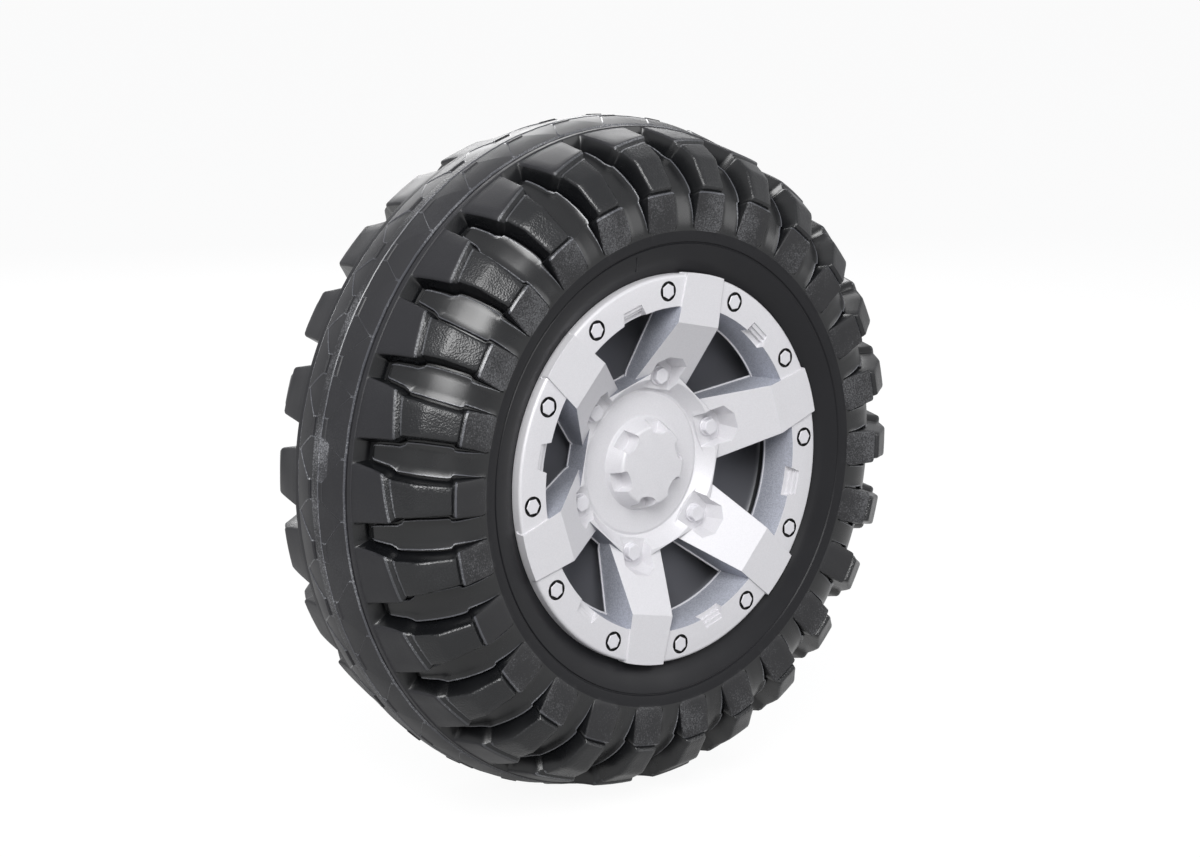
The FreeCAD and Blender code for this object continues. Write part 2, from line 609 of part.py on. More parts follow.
for piece in (window_walls, windows):
    turn_only(piece, HALF_PITCH)
hollow_space = cut("hollow_space", hollow, [window_walls, pocket_walls])
dish = cut("dish", envelope, [hollow_space, windows])
face = doc.addObject("Part::Fuse", "face")
face.Base = dish
face.Tool = spoke_ends
hub_cap = cut("hub_cap", face, [lug_pockets, bolt_pockets, boss_notches])
hub_cap.Label = "hub_cap"
CAP_FACE = "%s - Sizes.cap_face" % MID_PLANE
place(hub_cap, CAP_FACE, "Sizes.spoke_angle")

# Bolts of the ring, seated on the floors of their pockets
ring_bolts = new_body("ring_bolts")
sketch = face_sketch(ring_bolts, "ring_bolt_outline", "-Sizes.ring_bolt_rise")
for sign in ("", "-"):
    hexagon(sketch, "%sSizes.bolt_circle * sin(Sizes.bolt_spread * 1 deg)" % sign,
            "Sizes.bolt_circle * cos(Sizes.bolt_spread * 1 deg)", "Sizes.ring_bolt_flats")
heads = extrude(ring_bolts, "ring_bolt", sketch, "Sizes.ring_pocket_depth + Sizes.ring_bolt_rise")
ring_of(ring_bolts, heads, "Sizes.spoke_count", "ring_bolt_ring")
place(ring_bolts, CAP_FACE, "Sizes.spoke_angle")

# Lug bolts: a round flange on the pocket's floor and a hexagon on it
lug_bolts = new_body("lug_bolts")
sketch = face_sketch(lug_bolts, "lug_flange_outline", "Sizes.lug_pocket_depth - Sizes.lug_washer_height")
circle(sketch, "0", "Sizes.lug_bolt_circle", "Sizes.lug_washer_radius")
flange = extrude(lug_bolts, "lug_flange", sketch, "Sizes.lug_washer_height")
flanges = ring_of(lug_bolts, flange, "Sizes.spoke_count", "lug_flange_ring")
sketch = face_sketch(lug_bolts, "lug_hexagon_outline",
                     "Sizes.lug_pocket_depth - Sizes.lug_washer_height - Sizes.lug_bolt_height")
hexagon(sketch, "0", "Sizes.lug_bolt_circle", "Sizes.lug_bolt_flats")
hexes = extrude(lug_bolts, "lug_hexagon", sketch, "Sizes.lug_bolt_height + Sizes.lug_washer_height / 2")
ring_of(lug_bolts, hexes, "Sizes.spoke_count", "lug_hexagon_ring")
place(lug_bolts, CAP_FACE, "Sizes.spoke_angle")

# Flanged bushes in both ends of the hub; a bush is measured inboard from its flange's face
BORE = "(Sizes.axle_radius + Sizes.running_gap)"


def bush(label):
    body = new_body(label)
    revolve(body, label + "_turned", [
        ("0", BORE),
        ("0", "Sizes.bush_flange_radius"),
        ("Sizes.bush_flange", "Sizes.bush_flange_radius"),
        ("Sizes.bush_flange", "%s + Sizes.bush_wall" % BORE),
        ("Sizes.bush_flange + Sizes.bush_length", "%s + Sizes.bush_wall" % BORE),
        ("Sizes.bush_flange + Sizes.bush_length", BORE),
    ])
    return body


HUB_FRONT = "(%s - Sizes.cap_face + Sizes.well_depth)" % MID_PLANE
HUB_BACK = "(%s + Sizes.hub_back)" % MID_PLANE
outer_bush = bush("outer_bush")
place(outer_bush, "%s - Sizes.bush_flange" % HUB_FRONT)
inner_bush = bush("inner_bush")
inner_bush.Placement = Placement(Vector(0, 0, 0), Rotation(Vector(0, 0, 1), 180))
inner_bush.setExpression(".Placement.Base.y", "%s + Sizes.bush_flange" % HUB_BACK)

# Axle with its washers, lock nut and retaining clip
NUT_FACE = "(%s - Sizes.bush_flange - Sizes.end_play - Sizes.washer_thickness)" % HUB_FRONT
NUT_HEIGHT = "(Sizes.nut_hex_height + Sizes.nut_collar_height)"
AXLE_TIP = ("(%s - Sizes.cap_face + Sizes.boss_top_depth"
            " + Sizes.cap_wall + Sizes.axle_end_gap)" % MID_PLANE)
CLIP_FLOOR = "(Sizes.axle_radius - Sizes.clip_groove)"

axle_rod = new_body("axle_rod")
revolve(axle_rod, "rod", [
    (AXLE_TIP, "0"),
    (AXLE_TIP, "Sizes.axle_radius - Sizes.axle_chamfer"),
    ("%s + Sizes.axle_chamfer" % AXLE_TIP, "Sizes.axle_radius"),
    ("-Sizes.clip_thickness", "Sizes.axle_radius"),
    ("-Sizes.clip_thickness", CLIP_FLOOR),
    ("0", CLIP_FLOOR),
    ("0", "Sizes.axle_radius"),
    ("Sizes.stub_length - Sizes.axle_chamfer", "Sizes.axle_radius"),
    ("Sizes.stub_length", "Sizes.axle_radius - Sizes.axle_chamfer"),
    ("Sizes.stub_length", "0"),
])

retaining_clip = new_body("retaining_clip")
sketch = face_sketch(retaining_clip, "clip_outline", "-Sizes.clip_thickness")
circle(sketch, "0", "0", "Sizes.clip_radius")
circle(sketch, "0", "0", CLIP_FLOOR)
extrude(retaining_clip, "clip", sketch, "Sizes.clip_thickness")
mouth = face_sketch(retaining_clip, "clip_mouth_outline", "-Sizes.clip_thickness")
outline(mouth, [
    ("-Sizes.clip_mouth / 2", "-Sizes.clip_radius - " + PAST),
    ("Sizes.clip_mouth / 2", "-Sizes.clip_radius - " + PAST),
    ("Sizes.clip_mouth / 2", "0"),
    ("-Sizes.clip_mouth / 2", "0"),
])
extrude(retaining_clip, "clip_mouth", mouth, "Sizes.clip_thickness", cut=True)


def washer(label, y):
    body = new_body(label)
    sketch = face_sketch(body, label + "_outline")
    circle(sketch, "0", "0", "Sizes.washer_radius")
    circle(sketch, "0", "0", "Sizes.axle_radius")
    extrude(body, label + "_disc", sketch, "Sizes.washer_thickness")
    place(body, y)
    return body


outer_washer = washer("outer_washer", NUT_FACE)
inner_washer = washer("inner_washer", "-(Sizes.clip_thickness + Sizes.washer_thickness)")

lock_nut = new_body("lock_nut")
sketch = face_sketch(lock_nut, "nut_outline", "-Sizes.nut_hex_height")
hexagon(sketch, "0", "0", "Sizes.nut_flats")
circle(sketch, "0", "0", "Sizes.axle_radius")
extrude(lock_nut, "nut_hexagon", sketch, "Sizes.nut_hex_height")
sketch = face_sketch(lock_nut, "collar_outline", "-" + NUT_HEIGHT)
circle(sketch, "0", "0", "Sizes.nut_collar_radius")
circle(sketch, "0", "0", "Sizes.axle_radius")
extrude(lock_nut, "nut_collar", sketch, "Sizes.nut_collar_height")
place(lock_nut, NUT_FACE)

# Drive hub on the inboard end, measured outboard from its socket's mouth
drive_hub = new_body("drive_hub")
revolve(drive_hub, "drive_turned", [
    ("0", "Sizes.drive_bore_radius"),
    ("Sizes.drive_flange", "Sizes.drive_bore_radius"),
    ("Sizes.drive_flange", "Sizes.drive_root_radius"),
    ("Sizes.drive_flange + Sizes.drive_socket_height", "Sizes.drive_root_radius"),
    ("Sizes.drive_flange + Sizes.drive_socket_height", "Sizes.drive_socket_radius"),
    ("Sizes.drive_flange", "Sizes.drive_socket_radius"),
    ("Sizes.drive_flange", "Sizes.drive_flange_radius"),
    ("0", "Sizes.drive_flange_radius"),
])
sketch = face_sketch(drive_hub, "drive_tooth_outline", "Sizes.drive_flange - Sizes.drive_tooth_inset")
TOOTH_ROOT = "(Sizes.drive_tooth_width / 2 + Sizes.drive_tooth_flare)"
outline(sketch, [
    ("-Sizes.drive_tooth_width / 2", "Sizes.drive_bore_radius"),
    ("Sizes.drive_tooth_width / 2", "Sizes.drive_bore_radius"),
    (TOOTH_ROOT, "Sizes.drive_root_radius + Sizes.drive_tooth_inset"),
    ("-" + TOOTH_ROOT, "Sizes.drive_root_radius + Sizes.drive_tooth_inset"),
])
tooth = extrude(drive_hub, "drive_tooth", sketch, "Sizes.drive_socket_height")
ring_of(drive_hub, tooth, "Sizes.drive_teeth", "drive_teeth")
place(drive_hub, HUB_BACK)

drive_screws = new_body("drive_screws")
sketch = face_sketch(drive_screws, "screw_outline")
circle(sketch, "0", "Sizes.screw_circle", "Sizes.screw_head_radius")
head = extrude(drive_screws, "screw_head", sketch, "Sizes.screw_head_height")
ring_of(drive_screws, head, "Sizes.screw_count", "screw_heads")
place(drive_screws, "%s + Sizes.drive_flange" % HUB_BACK)

# Every object has to be whole before anything is written.
doc.recompute()
SUB_PARTS = [axle_rod, retaining_clip, inner_washer, outer_washer, lock_nut, wheel_shell, outer_bush,
             inner_bush, hub_cap, ring_bolts, lug_bolts, drive_hub, drive_screws]
for item in doc.Objects:
    if "Invalid" in item.State or "Error" in item.State:
        raise RuntimeError("%s failed: %s" % (item.Name, item.State))
for item in SUB_PARTS:
    if item.Shape.isNull() or not item.Shape.isValid():
        raise RuntimeError("%s has no valid shape" % item.Label)

os.makedirs("parts", exist_ok=True)
for item in SUB_PARTS:
    item.Shape.exportStep("parts/%s.step" % item.Label)
    box = item.Shape.optimalBoundingBox(False, False)
    print("%-15s %2d solids %10.1f mm3  y %7.2f to %7.2f" % (
        item.Label, len(item.Shape.Solids), item.Shape.Volume, box.YMin, box.YMax))
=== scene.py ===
import bpy
import math
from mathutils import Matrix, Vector


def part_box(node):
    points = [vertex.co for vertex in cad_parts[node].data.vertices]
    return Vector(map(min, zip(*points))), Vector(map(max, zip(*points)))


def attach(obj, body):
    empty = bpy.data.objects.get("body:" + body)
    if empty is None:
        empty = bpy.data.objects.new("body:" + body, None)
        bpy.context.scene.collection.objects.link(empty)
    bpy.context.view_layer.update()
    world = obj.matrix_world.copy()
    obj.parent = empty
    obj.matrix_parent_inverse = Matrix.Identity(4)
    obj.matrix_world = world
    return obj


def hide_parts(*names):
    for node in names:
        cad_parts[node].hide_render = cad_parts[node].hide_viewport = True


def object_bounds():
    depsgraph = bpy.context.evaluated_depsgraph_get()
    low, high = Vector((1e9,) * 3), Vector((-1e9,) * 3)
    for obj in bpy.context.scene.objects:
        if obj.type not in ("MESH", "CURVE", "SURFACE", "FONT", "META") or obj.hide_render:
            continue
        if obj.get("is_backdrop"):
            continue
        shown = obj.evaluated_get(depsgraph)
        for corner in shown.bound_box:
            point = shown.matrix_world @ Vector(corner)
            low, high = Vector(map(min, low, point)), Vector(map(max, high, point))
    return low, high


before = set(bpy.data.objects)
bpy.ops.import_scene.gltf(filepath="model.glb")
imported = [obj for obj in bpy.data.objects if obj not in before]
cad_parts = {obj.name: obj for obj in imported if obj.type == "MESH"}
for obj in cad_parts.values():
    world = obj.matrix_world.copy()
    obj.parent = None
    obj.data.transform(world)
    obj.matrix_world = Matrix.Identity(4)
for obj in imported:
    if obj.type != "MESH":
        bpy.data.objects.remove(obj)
cad_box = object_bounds()
bpy.ops.object.select_all(action="DESELECT")


# The camera stands out from the wheel's face, well to its left and a little above it, on a long lens
# and with no roll. Its place and angles come from the circle of ring bolts and the tyre's outline.
CAMERA_PLACE = Vector((-0.8157, -1.0363, 0.2477))
CAMERA_TURN = 40.015
CAMERA_DOWN = 10.482
bpy.ops.object.camera_add(location=CAMERA_PLACE)
camera = bpy.context.object
camera.name = "camera"
camera.rotation_euler = (math.radians(90 - CAMERA_DOWN), 0, math.radians(-CAMERA_TURN))
camera.data.sensor_width = 36
camera.data.lens = 75.46
camera.data.clip_end = 120
bpy.context.scene.camera = camera


# A plain white studio, as for a product photograph: a seamless floor under the tyre, a large soft box
# high on the left of the wheel's face, a weak one on its right and one behind for the inboard side.
def colour(hex_code):
    """An sRGB hex colour as the linear values that the nodes take."""
    parts = [int(hex_code[i:i + 2], 16) / 255 for i in (1, 3, 5)]
    linear = [p / 12.92 if p <= 0.04045 else ((p + 0.055) / 1.055) ** 2.4 for p in parts]
    return (*linear, 1.0)


def new_material(name):
    material = bpy.data.materials.new(name)
    material.use_nodes = True
    material.node_tree.nodes.clear()
    return material


def node(material, kind, links=(), **settings):
    """Adds a node; links are (socket of the new node, node, its output), settings sockets or attributes."""
    made = material.node_tree.nodes.new(kind)
    for name, value in settings.items():
        label = name.replace("_", " ")
        sockets = [s for s in made.inputs if s.name.lower() == label.lower()]
        if hasattr(made, name):
            setattr(made, name, value)
        elif sockets:
            sockets[0].default_value = value
        else:
            raise KeyError(name)
    for socket, source, output in links:
        material.node_tree.links.new(source.outputs[output], made.inputs[socket])
    return made


FLOOR_LEVEL = cad_box[0][2]
bpy.ops.mesh.primitive_plane_add(size=160, location=(0, 0, FLOOR_LEVEL))
floor = bpy.context.object
floor.name = "floor"
floor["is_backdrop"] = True

MIRRORED_WHITE = 0.45
PAPER_WHITE = 0.78


def background_rays(material):
    """1 for the rays that show the background, straight or let through, and less for mirrored ones."""
    ray = node(material, "ShaderNodeLightPath")
    mirrored = node(material, "ShaderNodeMath", [(0, ray, "Is Glossy Ray")], operation="MULTIPLY")
    mirrored.inputs[1].default_value = MIRRORED_WHITE
    seen = node(material, "ShaderNodeMath", [(0, ray, "Is Camera Ray"), (1, mirrored, 0)],
                operation="MAXIMUM")
    return node(material, "ShaderNodeMath", [(0, seen, 0), (1, ray, "Is Transmission Ray")],
                operation="MAXIMUM")


# White studio paper: matt, shown for the most part as the plain white background, and for the rest
# as lit paper, so that the wheel's shadow stays on it.
backdrop = new_material("white_studio_paper")
paper = node(backdrop, "ShaderNodeBsdfDiffuse", Color=colour("#ABABAB"))
white = node(backdrop, "ShaderNodeEmission", Color=(1, 1, 1, 1), Strength=1.2)
part_shown = node(backdrop, "ShaderNodeMath", [(0, background_rays(backdrop), 0)], operation="MULTIPLY")
part_shown.inputs[1].default_value = PAPER_WHITE
shown = node(backdrop, "ShaderNodeMixShader", [(0, part_shown, 0), (1, paper, 0), (2, white, 0)])
node(backdrop, "ShaderNodeOutputMaterial", [("Surface", shown, 0)])
floor.data.materials.append(backdrop)

# The white walls of the studio light the wheel faintly from all round and are its white background.
world = bpy.data.worlds.new("studio")
bpy.context.scene.world = world
world.use_nodes = True
world.node_tree.nodes.clear()
room = node(world, "ShaderNodeBackground", Color=colour("#F4F6FF"), Strength=0.28)
sky = node(world, "ShaderNodeBackground", Color=(1, 1, 1, 1), Strength=1.0)
shown = node(world, "ShaderNodeMixShader", [(0, background_rays(world), 0), (1, room, 0), (2, sky, 0)])
node(world, "ShaderNodeOutputWorld", [("Surface", shown, 0)])


def soft_light(name, place, target, size, power):
    """A square soft box at a place, turned to its target."""
    bpy.ops.object.light_add(type="AREA", location=place)
    lamp = bpy.context.object
    lamp.name = name
    lamp.data.size = size
    lamp.data.energy = power
    lamp.rotation_euler = (Vector(target) - Vector(place)).to_track_quat("-Z", "Y").to_euler()


WHEEL_CENTRE = (0, -0.06, 0)
soft_light("soft_box_left", (-1.05, -1.2, 1.15), WHEEL_CENTRE, 1.2, 41)
soft_light("soft_box_right", (1.2, -1.3, 0.6), WHEEL_CENTRE, 1.0, 5)
soft_light("soft_box_behind", (0.9, 1.5, 1.1), WHEEL_CENTRE, 1.2, 22)

bpy.context.scene.view_settings.view_transform = "Standard"


# Tyre: one hollow blow moulding of black polyethylene, shell and web together. The mould has one
# cavity for each half, so a pitch with one lug is modelled, copied round and mirrored.
tyre_low, tyre_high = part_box("wheel_shell")
MIDDLE = (tyre_low[1] + tyre_high[1]) / 2
MM = 0.001
LUG_COUNT = 26
FIRST_LUG = math.radians(8.7)
LUG_HALF_PITCH = math.pi / LUG_COUNT

# The floor between the lugs follows two arcs: place of the centre from the mid plane, its radius, size.
CROWN_ARC = (12.63, 104.83, 57.0)
SHOULDER_ARC = (30.59, 121.0, 33.0)
SHOULDER_STARTS = math.radians(42.7)

# A lug's rounding with its middle point and draft, and the panel's edge, bead and bead's foot.
LUG_ROUNDING = 1.2
ROUNDING_MIDDLE = 0.29
ROUNDING_DRAFT = 0.1
PANEL_EDGE = 0.6
PANEL_BEAD = 0.3
BEAD_FOOT = 1.4

# A lug from the strip to the tyre's side: place from the mid plane, radius, half widths of its top, its
# foot and the channel round it, that channel's depth, slant, and rows put in before the next.
STATIONS = [
    (24.2, 167.75, 14.3, 15.2, 16.3, 1.6, 0.0, 0),
    (27.0, 167.25, 13.95, 14.85, 15.95, 1.6, 0.0, 0),
    (27.3, 167.2, 13.9, 14.8, 16.4, 1.6, 0.0, 0),
    (27.8, 167.1, 13.85, 14.75, 15.85, 1.6, 0.0, 1),
    (34.0, 165.85, 13.0, 13.9, 14.95, 1.6, 0.0, 2),
    (40.5, 164.5, 12.1, 13.0, 14.05, 1.6, 0.12, 0),
    (42.6, 164.05, 11.85, 12.8, 13.95, 1.6, 0.19, 0),
    (43.5, 163.7, 11.5, 12.5, 13.7, 1.6, 0.19, 0),
    (44.3, 162.8, 10.9, 12.0, 13.2, 1.6, 0.19, 0),
    (45.3, 160.7, 9.9, 11.2, 12.3, 1.6, 0.19, 0),
    (46.1, 161.3, 9.1, 10.6, 11.6, 1.6, 0.19, 0),
    (47.0, 161.0, 8.8, 10.2, 11.2, 1.6, 0.17, 0),
    (51.5, 158.4, 8.5, 9.7, 10.8, 1.6, 0.05, 1),
    (56.0, 155.7, 8.0, 9.2, 10.3, 1.6, 0.0, 0),
    (57.3, 154.2, 7.8, 9.1, 10.2, 1.6, 0.0, 1),
    (61.2, 148.2, 7.3, 8.6, 9.7, 1.6, 0.0, 1),
    (64.9, 142.8, 6.9, 8.2, 9.3, 1.6, 0.0, 0),
    (65.6, 141.5, 6.5, 8.3, 9.4, 1.6, 0.0, 0),
    (65.0, 140.2, 6.6, 8.7, 9.9, 1.6, 0.0, 0),
    (64.0, 139.5, 7.3, 9.1, 10.4, 1.6, 0.0, 0),
    (65.0, 138.9, 8.1, 9.4, 10.6, 1.6, 0.0, 0),
    (65.6, 138.1, 8.6, 9.5, 10.6, 1.5, 0.0, 1),
    (65.3, 130.0, 8.7, 9.3, 9.9, 0.9, 0.0, 1),
    (64.4, 122.5, 8.85, 9.1, 9.3, 0.3, 0.0, 0),
    (64.1, 120.6, 8.3, 8.8, 9.0, 0.1, 0.0, 0),
    (63.85, 119.9, 7.0, 7.9, 8.4, 0.0, 0.0, 0),
    (63.5, 119.3, 6.6, 7.5, 8.0, 0.0, 0.0, 0),
]

# Beside the strip the channel is wider: places on the floor and how high its panel stands there.
WALL_FOOT = [(24.1, -1.6), (26.9, -1.6), (27.2, -0.3), (27.7, 0.0)]

# The strip beside the lugs, and the tyre's side down to the seat of the hub cap: place and radius.
STRIP = [(18.6, 165.6), (19.85, 165.6), (19.95, 167.8), (20.4, 168.4), (22.8, 168.5), (23.2, 168.35),
         (23.5, 167.85)]
SIDE = [(63.4, 117.5), (63.0, 114.6), (62.85, 114.0), (62.2, 113.6), (62.1, 113.2), (62.6, 112.8),
        (62.3, 111.5), (60.75, 106.2), (59.2, 103.4), (57.15, 100.8), (55.9, 98.9), (55.4, 98.2),
        (55.3, 97.0), (55.3, 92.0)]


def on_arc(arc, y):
    return Vector((y, arc[1] + math.sqrt(arc[2] ** 2 - (y - arc[0]) ** 2)))


def under_lug(top):
    """The floor's point straight under a point of a lug's top."""
    arc = CROWN_ARC
    if math.atan2(top.x - arc[0], top.y - arc[1]) > SHOULDER_STARTS:
        arc = SHOULDER_ARC
    centre = Vector(arc[:2])
    return centre + (top - centre).normalized() * arc[2]


def across_lug(station, height):
    """From a lug's middle outwards: (distance from the middle, height over the floor)."""
    half_top, half_foot, half_panel, channel = station[2:6]
    rounding = min(LUG_ROUNDING, height * 0.45)
    edge = min(PANEL_EDGE, channel / 2)
    bead = min(PANEL_BEAD, channel / 4)
    return [(0, height), (half_top / 2, height), (half_top - rounding, height),
            (half_top - ROUNDING_MIDDLE * rounding, height - ROUNDING_MIDDLE * rounding),
            (half_top + ROUNDING_DRAFT * rounding, height - rounding),
            (half_foot, -channel), (half_panel - edge / 2, -channel), (half_panel, -edge / 2),
            (half_panel + edge / 2, bead), (half_panel + BEAD_FOOT * edge, 0)]


SLANT_WAY = Vector((0.95, -0.3))


def half_row(station, side, foot=None):
    """A row of points (angle, place, radius) from a lug's middle to halfway to its neighbour."""
    top = Vector(station[:2])
    slant = station[6]
    floor = on_arc(CROWN_ARC, foot[0]) if foot else under_lug(top)
    height = (top - floor).length
    row = []
    for x, level in across_lug(station, height):
        moved = top + SLANT_WAY * (-side * slant * x)
        under = floor if foot else under_lug(moved)
        if foot and x >= station[3]:
            level = min(level, foot[1])
        up = (moved - under).normalized()
        point = under + up * level
        row.append((side * x / point.y, point.x, point.y))
    up = (top - floor).normalized()
    point = floor + up * (foot[1] if foot else 0)
    last = abs(row[-1][0])
    for share in (0.5, 1.0):
        row.append((side * (last + (LUG_HALF_PITCH - last) * share), point.x, point.y))
    return row


def whole_row(station, foot=None):
    return half_row(station, -1, foot)[:0:-1] + half_row(station, 1, foot)


def filled_in(stations):
    """The stations with the rows that are put in between them."""
    full = []
    for one, other in zip(stations, stations[1:]):
        steps = one[7] + 1
        for i in range(steps):
            full.append([a + (b - a) * i / steps for a, b in zip(one, other)])
    return full + [stations[-1]]


lug_rows = []
for i, station in enumerate(filled_in(STATIONS)):
    lug_rows.append(whole_row(station, WALL_FOOT[i] if i < len(WALL_FOOT) else None))
first, last = lug_rows[0], lug_rows[-1]
strip_rows = [[(angle, y, radius) for angle, _, _ in first] for y, radius in STRIP]
side_rows = [[(angle, y, radius) for angle, _, _ in last] for y, radius in SIDE]
pitch_rows = strip_rows + lug_rows + side_rows

columns = len(first)
middle = columns // 2
bpy.ops.mesh.primitive_grid_add(x_subdivisions=columns - 1, y_subdivisions=len(pitch_rows) - 1)
tyre = bpy.context.object
tyre.name = "tyre"
for v in tyre.data.vertices:
    row, column = divmod(v.index, columns)
    angle, y, radius = pitch_rows[row][column]
    v.co = (radius * MM * math.sin(angle + FIRST_LUG), -y * MM,
            radius * MM * math.cos(angle + FIRST_LUG))


WEAR_TONE = "#8E8F92"


def polyethylene(name, tone, roughness, shine, grain, depth, wear=0.0):
    """Black blow-moulded polyethylene, IOR 1.54: a waxy gloss that swims, because blown walls are
    never flat, the mould's grain and its depth in millimetres, and whitish specks where rubbed."""
    material = new_material(name)
    place = node(material, "ShaderNodeTexCoord")
    haze = node(material, "ShaderNodeTexNoise", [("Vector", place, "Object")],
                Scale=1 / (25 * MM), Detail=1.0, Roughness=0.5)
    waves = node(material, "ShaderNodeBump", [("Height", haze, 0)], Strength=0.35, Distance=1.2 * MM)
    pebbles = node(material, "ShaderNodeTexVoronoi", [("Vector", place, "Object")],
                   feature="SMOOTH_F1", Scale=1 / (grain * MM), Smoothness=0.5)
    bump = node(material, "ShaderNodeBump", [("Height", pebbles, 0), ("Normal", waves, 0)],
                Strength=1.0, Distance=depth * MM)
    gloss = node(material, "ShaderNodeMapRange", [("Value", haze, 0)],
                 From_Min=0.3, From_Max=0.7, To_Min=roughness - 0.05, To_Max=roughness + 0.07)
    specks = node(material, "ShaderNodeTexNoise", [("Vector", place, "Object")],
                  Scale=1 / (0.7 * MM), Detail=2.0, Roughness=0.7)
    patches = node(material, "ShaderNodeTexNoise", [("Vector", place, "Object")],
                   Scale=1 / (38 * MM), Detail=3.0, Roughness=0.55)
    worn = node(material, "ShaderNodeMath", [(0, specks, 0), (1, patches, 0)], operation="MULTIPLY")
    mask = node(material, "ShaderNodeMapRange", [("Value", worn, 0)],
                From_Min=0.26, From_Max=0.42, To_Min=0.0, To_Max=wear)
    tint = node(material, "ShaderNodeMix", [("Factor", mask, 0)], data_type="RGBA")
    tint.inputs["A"].default_value = colour(tone)
    tint.inputs["B"].default_value = colour(WEAR_TONE)
    skin = node(material, "ShaderNodeBsdfPrincipled",
                [("Base Color", tint, "Result"), ("Roughness", gloss, 0), ("Normal", bump, 0)],
                IOR=1.54, Specular_IOR_Level=shine)
    node(material, "ShaderNodeOutputMaterial", [("Surface", skin, 0)])
    return material


# The mould is blasted fine on the crown blocks, which look dull, grained like leather on the shoulder
# blocks and smooth on the plates. The panels between the lugs are the glossiest. The rounded end of each
# crown block and the knee of each shoulder block are painted lighter as painted highlight, with rubbed
# specks; the panels' and plates' edges have a painted highlight with rubbed specks too, and some plates
# are scuffed.
PANEL_SKIN, CROWN_SKIN, GRAIN_SKIN, PLATE_SKIN, EDGE_HIGHLIGHT_SKIN, SIDE_SKIN, RIM_HIGHLIGHT_SKIN = range(7)
for made in (polyethylene("polyethylene_glossy_panels", "#0E0F11", 0.28, 0.6, 0.6, 0.004),
             polyethylene("polyethylene_blasted_crown", "#262629", 0.45, 0.35, 0.6, 0.03, 0.03),
             polyethylene("polyethylene_leather_grain", "#17181A", 0.3, 0.5, 0.9, 0.13, 0.04),
             polyethylene("polyethylene_side_plates", "#212123", 0.44, 0.4, 0.5, 0.02, 0.42),
             polyethylene("polyethylene_edge_painted_highlight_and_wear", "#3E3F42", 0.4, 0.5, 0.8, 0.16, 0.9),
             polyethylene("polyethylene_smooth_side", "#18181B", 0.4, 0.26, 0.6, 0.012),
             polyethylene("polyethylene_lines_painted_highlight_and_wear", "#4A4B50", 0.26, 0.6, 0.8, 0.02, 1.0)):
    tyre.data.materials.append(made)

# Where the skins meet: columns from a lug's middle, rows from the band's groove, places and radii.
LUG_EDGE_COLUMN = 4
PANEL_EDGE_COLUMN = 7
GROOVE_EDGE_ROW = 2
PANEL_END_ROW = len(STRIP) + 1
PANEL_EDGE_ENDS = 124
CROWN_ENDS, CROWN_EDGE_ENDS = 43.0, 44.2
KNEE_STARTS, KNEE_ENDS = 46.0, 46.9
PLATE_STARTS, PLATE_EDGE, PLATE_ENDS = 139.2, 138.5, 119.4


def tyre_skin(row, column):
    """The skin of the pitch's face in a row and column."""
    _, y, radius = pitch_rows[row][middle]
    away = column - middle if column >= middle else middle - 1 - column
    # The groove's edge, the panels' edges and beads and the plates' edges get the painted highlight.
    if row == GROOVE_EDGE_ROW:
        return RIM_HIGHLIGHT_SKIN
    if row < len(STRIP) - 1:
        return CROWN_SKIN
    if radius < PLATE_ENDS:
        return SIDE_SKIN
    if row == PANEL_END_ROW and away >= PANEL_EDGE_COLUMN:
        return RIM_HIGHLIGHT_SKIN
    if row > PANEL_END_ROW and radius > PANEL_EDGE_ENDS and 0 <= away - PANEL_EDGE_COLUMN <= 1:
        return RIM_HIGHLIGHT_SKIN
    if away >= LUG_EDGE_COLUMN:
        return PANEL_SKIN
    if y < CROWN_ENDS:
        return CROWN_SKIN
    # The crown block's rounded end and the shoulder block's knee get the painted highlight.
    if y < CROWN_EDGE_ENDS or KNEE_STARTS < y < KNEE_ENDS:
        return EDGE_HIGHLIGHT_SKIN
    if radius > PLATE_STARTS:
        return GRAIN_SKIN
    return RIM_HIGHLIGHT_SKIN if radius > PLATE_EDGE else PLATE_SKIN


for face in tyre.data.polygons:
    face.material_index = tyre_skin(*divmod(face.index, columns - 1))


def spin_copies(count):
    """In edit mode, copies the mesh evenly round the axle until there are count of it."""
    bpy.ops.mesh.select_all(action="SELECT")
    bpy.ops.mesh.spin(steps=count - 1, dupli=True, angle=2 * math.pi * (count - 1) / count,
                      center=(0, 0, 0), axis=(0, 1, 0))


def weld(gap, close=False):
    """Merges points closer than a gap, closes holes if asked, turns faces out and leaves edit mode."""
    bpy.ops.mesh.select_all(action="SELECT")
    bpy.ops.mesh.remove_doubles(threshold=gap)
    if close:
        bpy.ops.mesh.fill_holes(sides=0)
        bpy.ops.mesh.select_all(action="SELECT")
    bpy.ops.mesh.normals_make_consistent(inside=False)
    bpy.ops.object.mode_set(mode="OBJECT")


def shade_smooth(degrees):
    """Shades the selected piece smooth, but for edges that turn by more than this."""
    bpy.ops.object.shade_smooth_by_angle(angle=math.radians(degrees))


WELD_GAP = 0.02 * MM
bpy.ops.object.mode_set(mode="EDIT")
spin_copies(LUG_COUNT)
weld(WELD_GAP)


def both_sides(piece):
    """Mirrors a piece over the wheel's mid plane and puts it in its place on the axle."""
    mirror = piece.modifiers.new("inboard_half", "MIRROR")
    mirror.use_axis = (False, True, False)
    mirror.merge_threshold = WELD_GAP
    bpy.ops.object.modifier_apply(modifier=mirror.name)
    piece.location = (0, MIDDLE, 0)
    bpy.ops.object.transform_apply(location=True)


both_sides(tyre)
shade_smooth(38)
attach(tyre, "wheel")
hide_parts("wheel_shell")


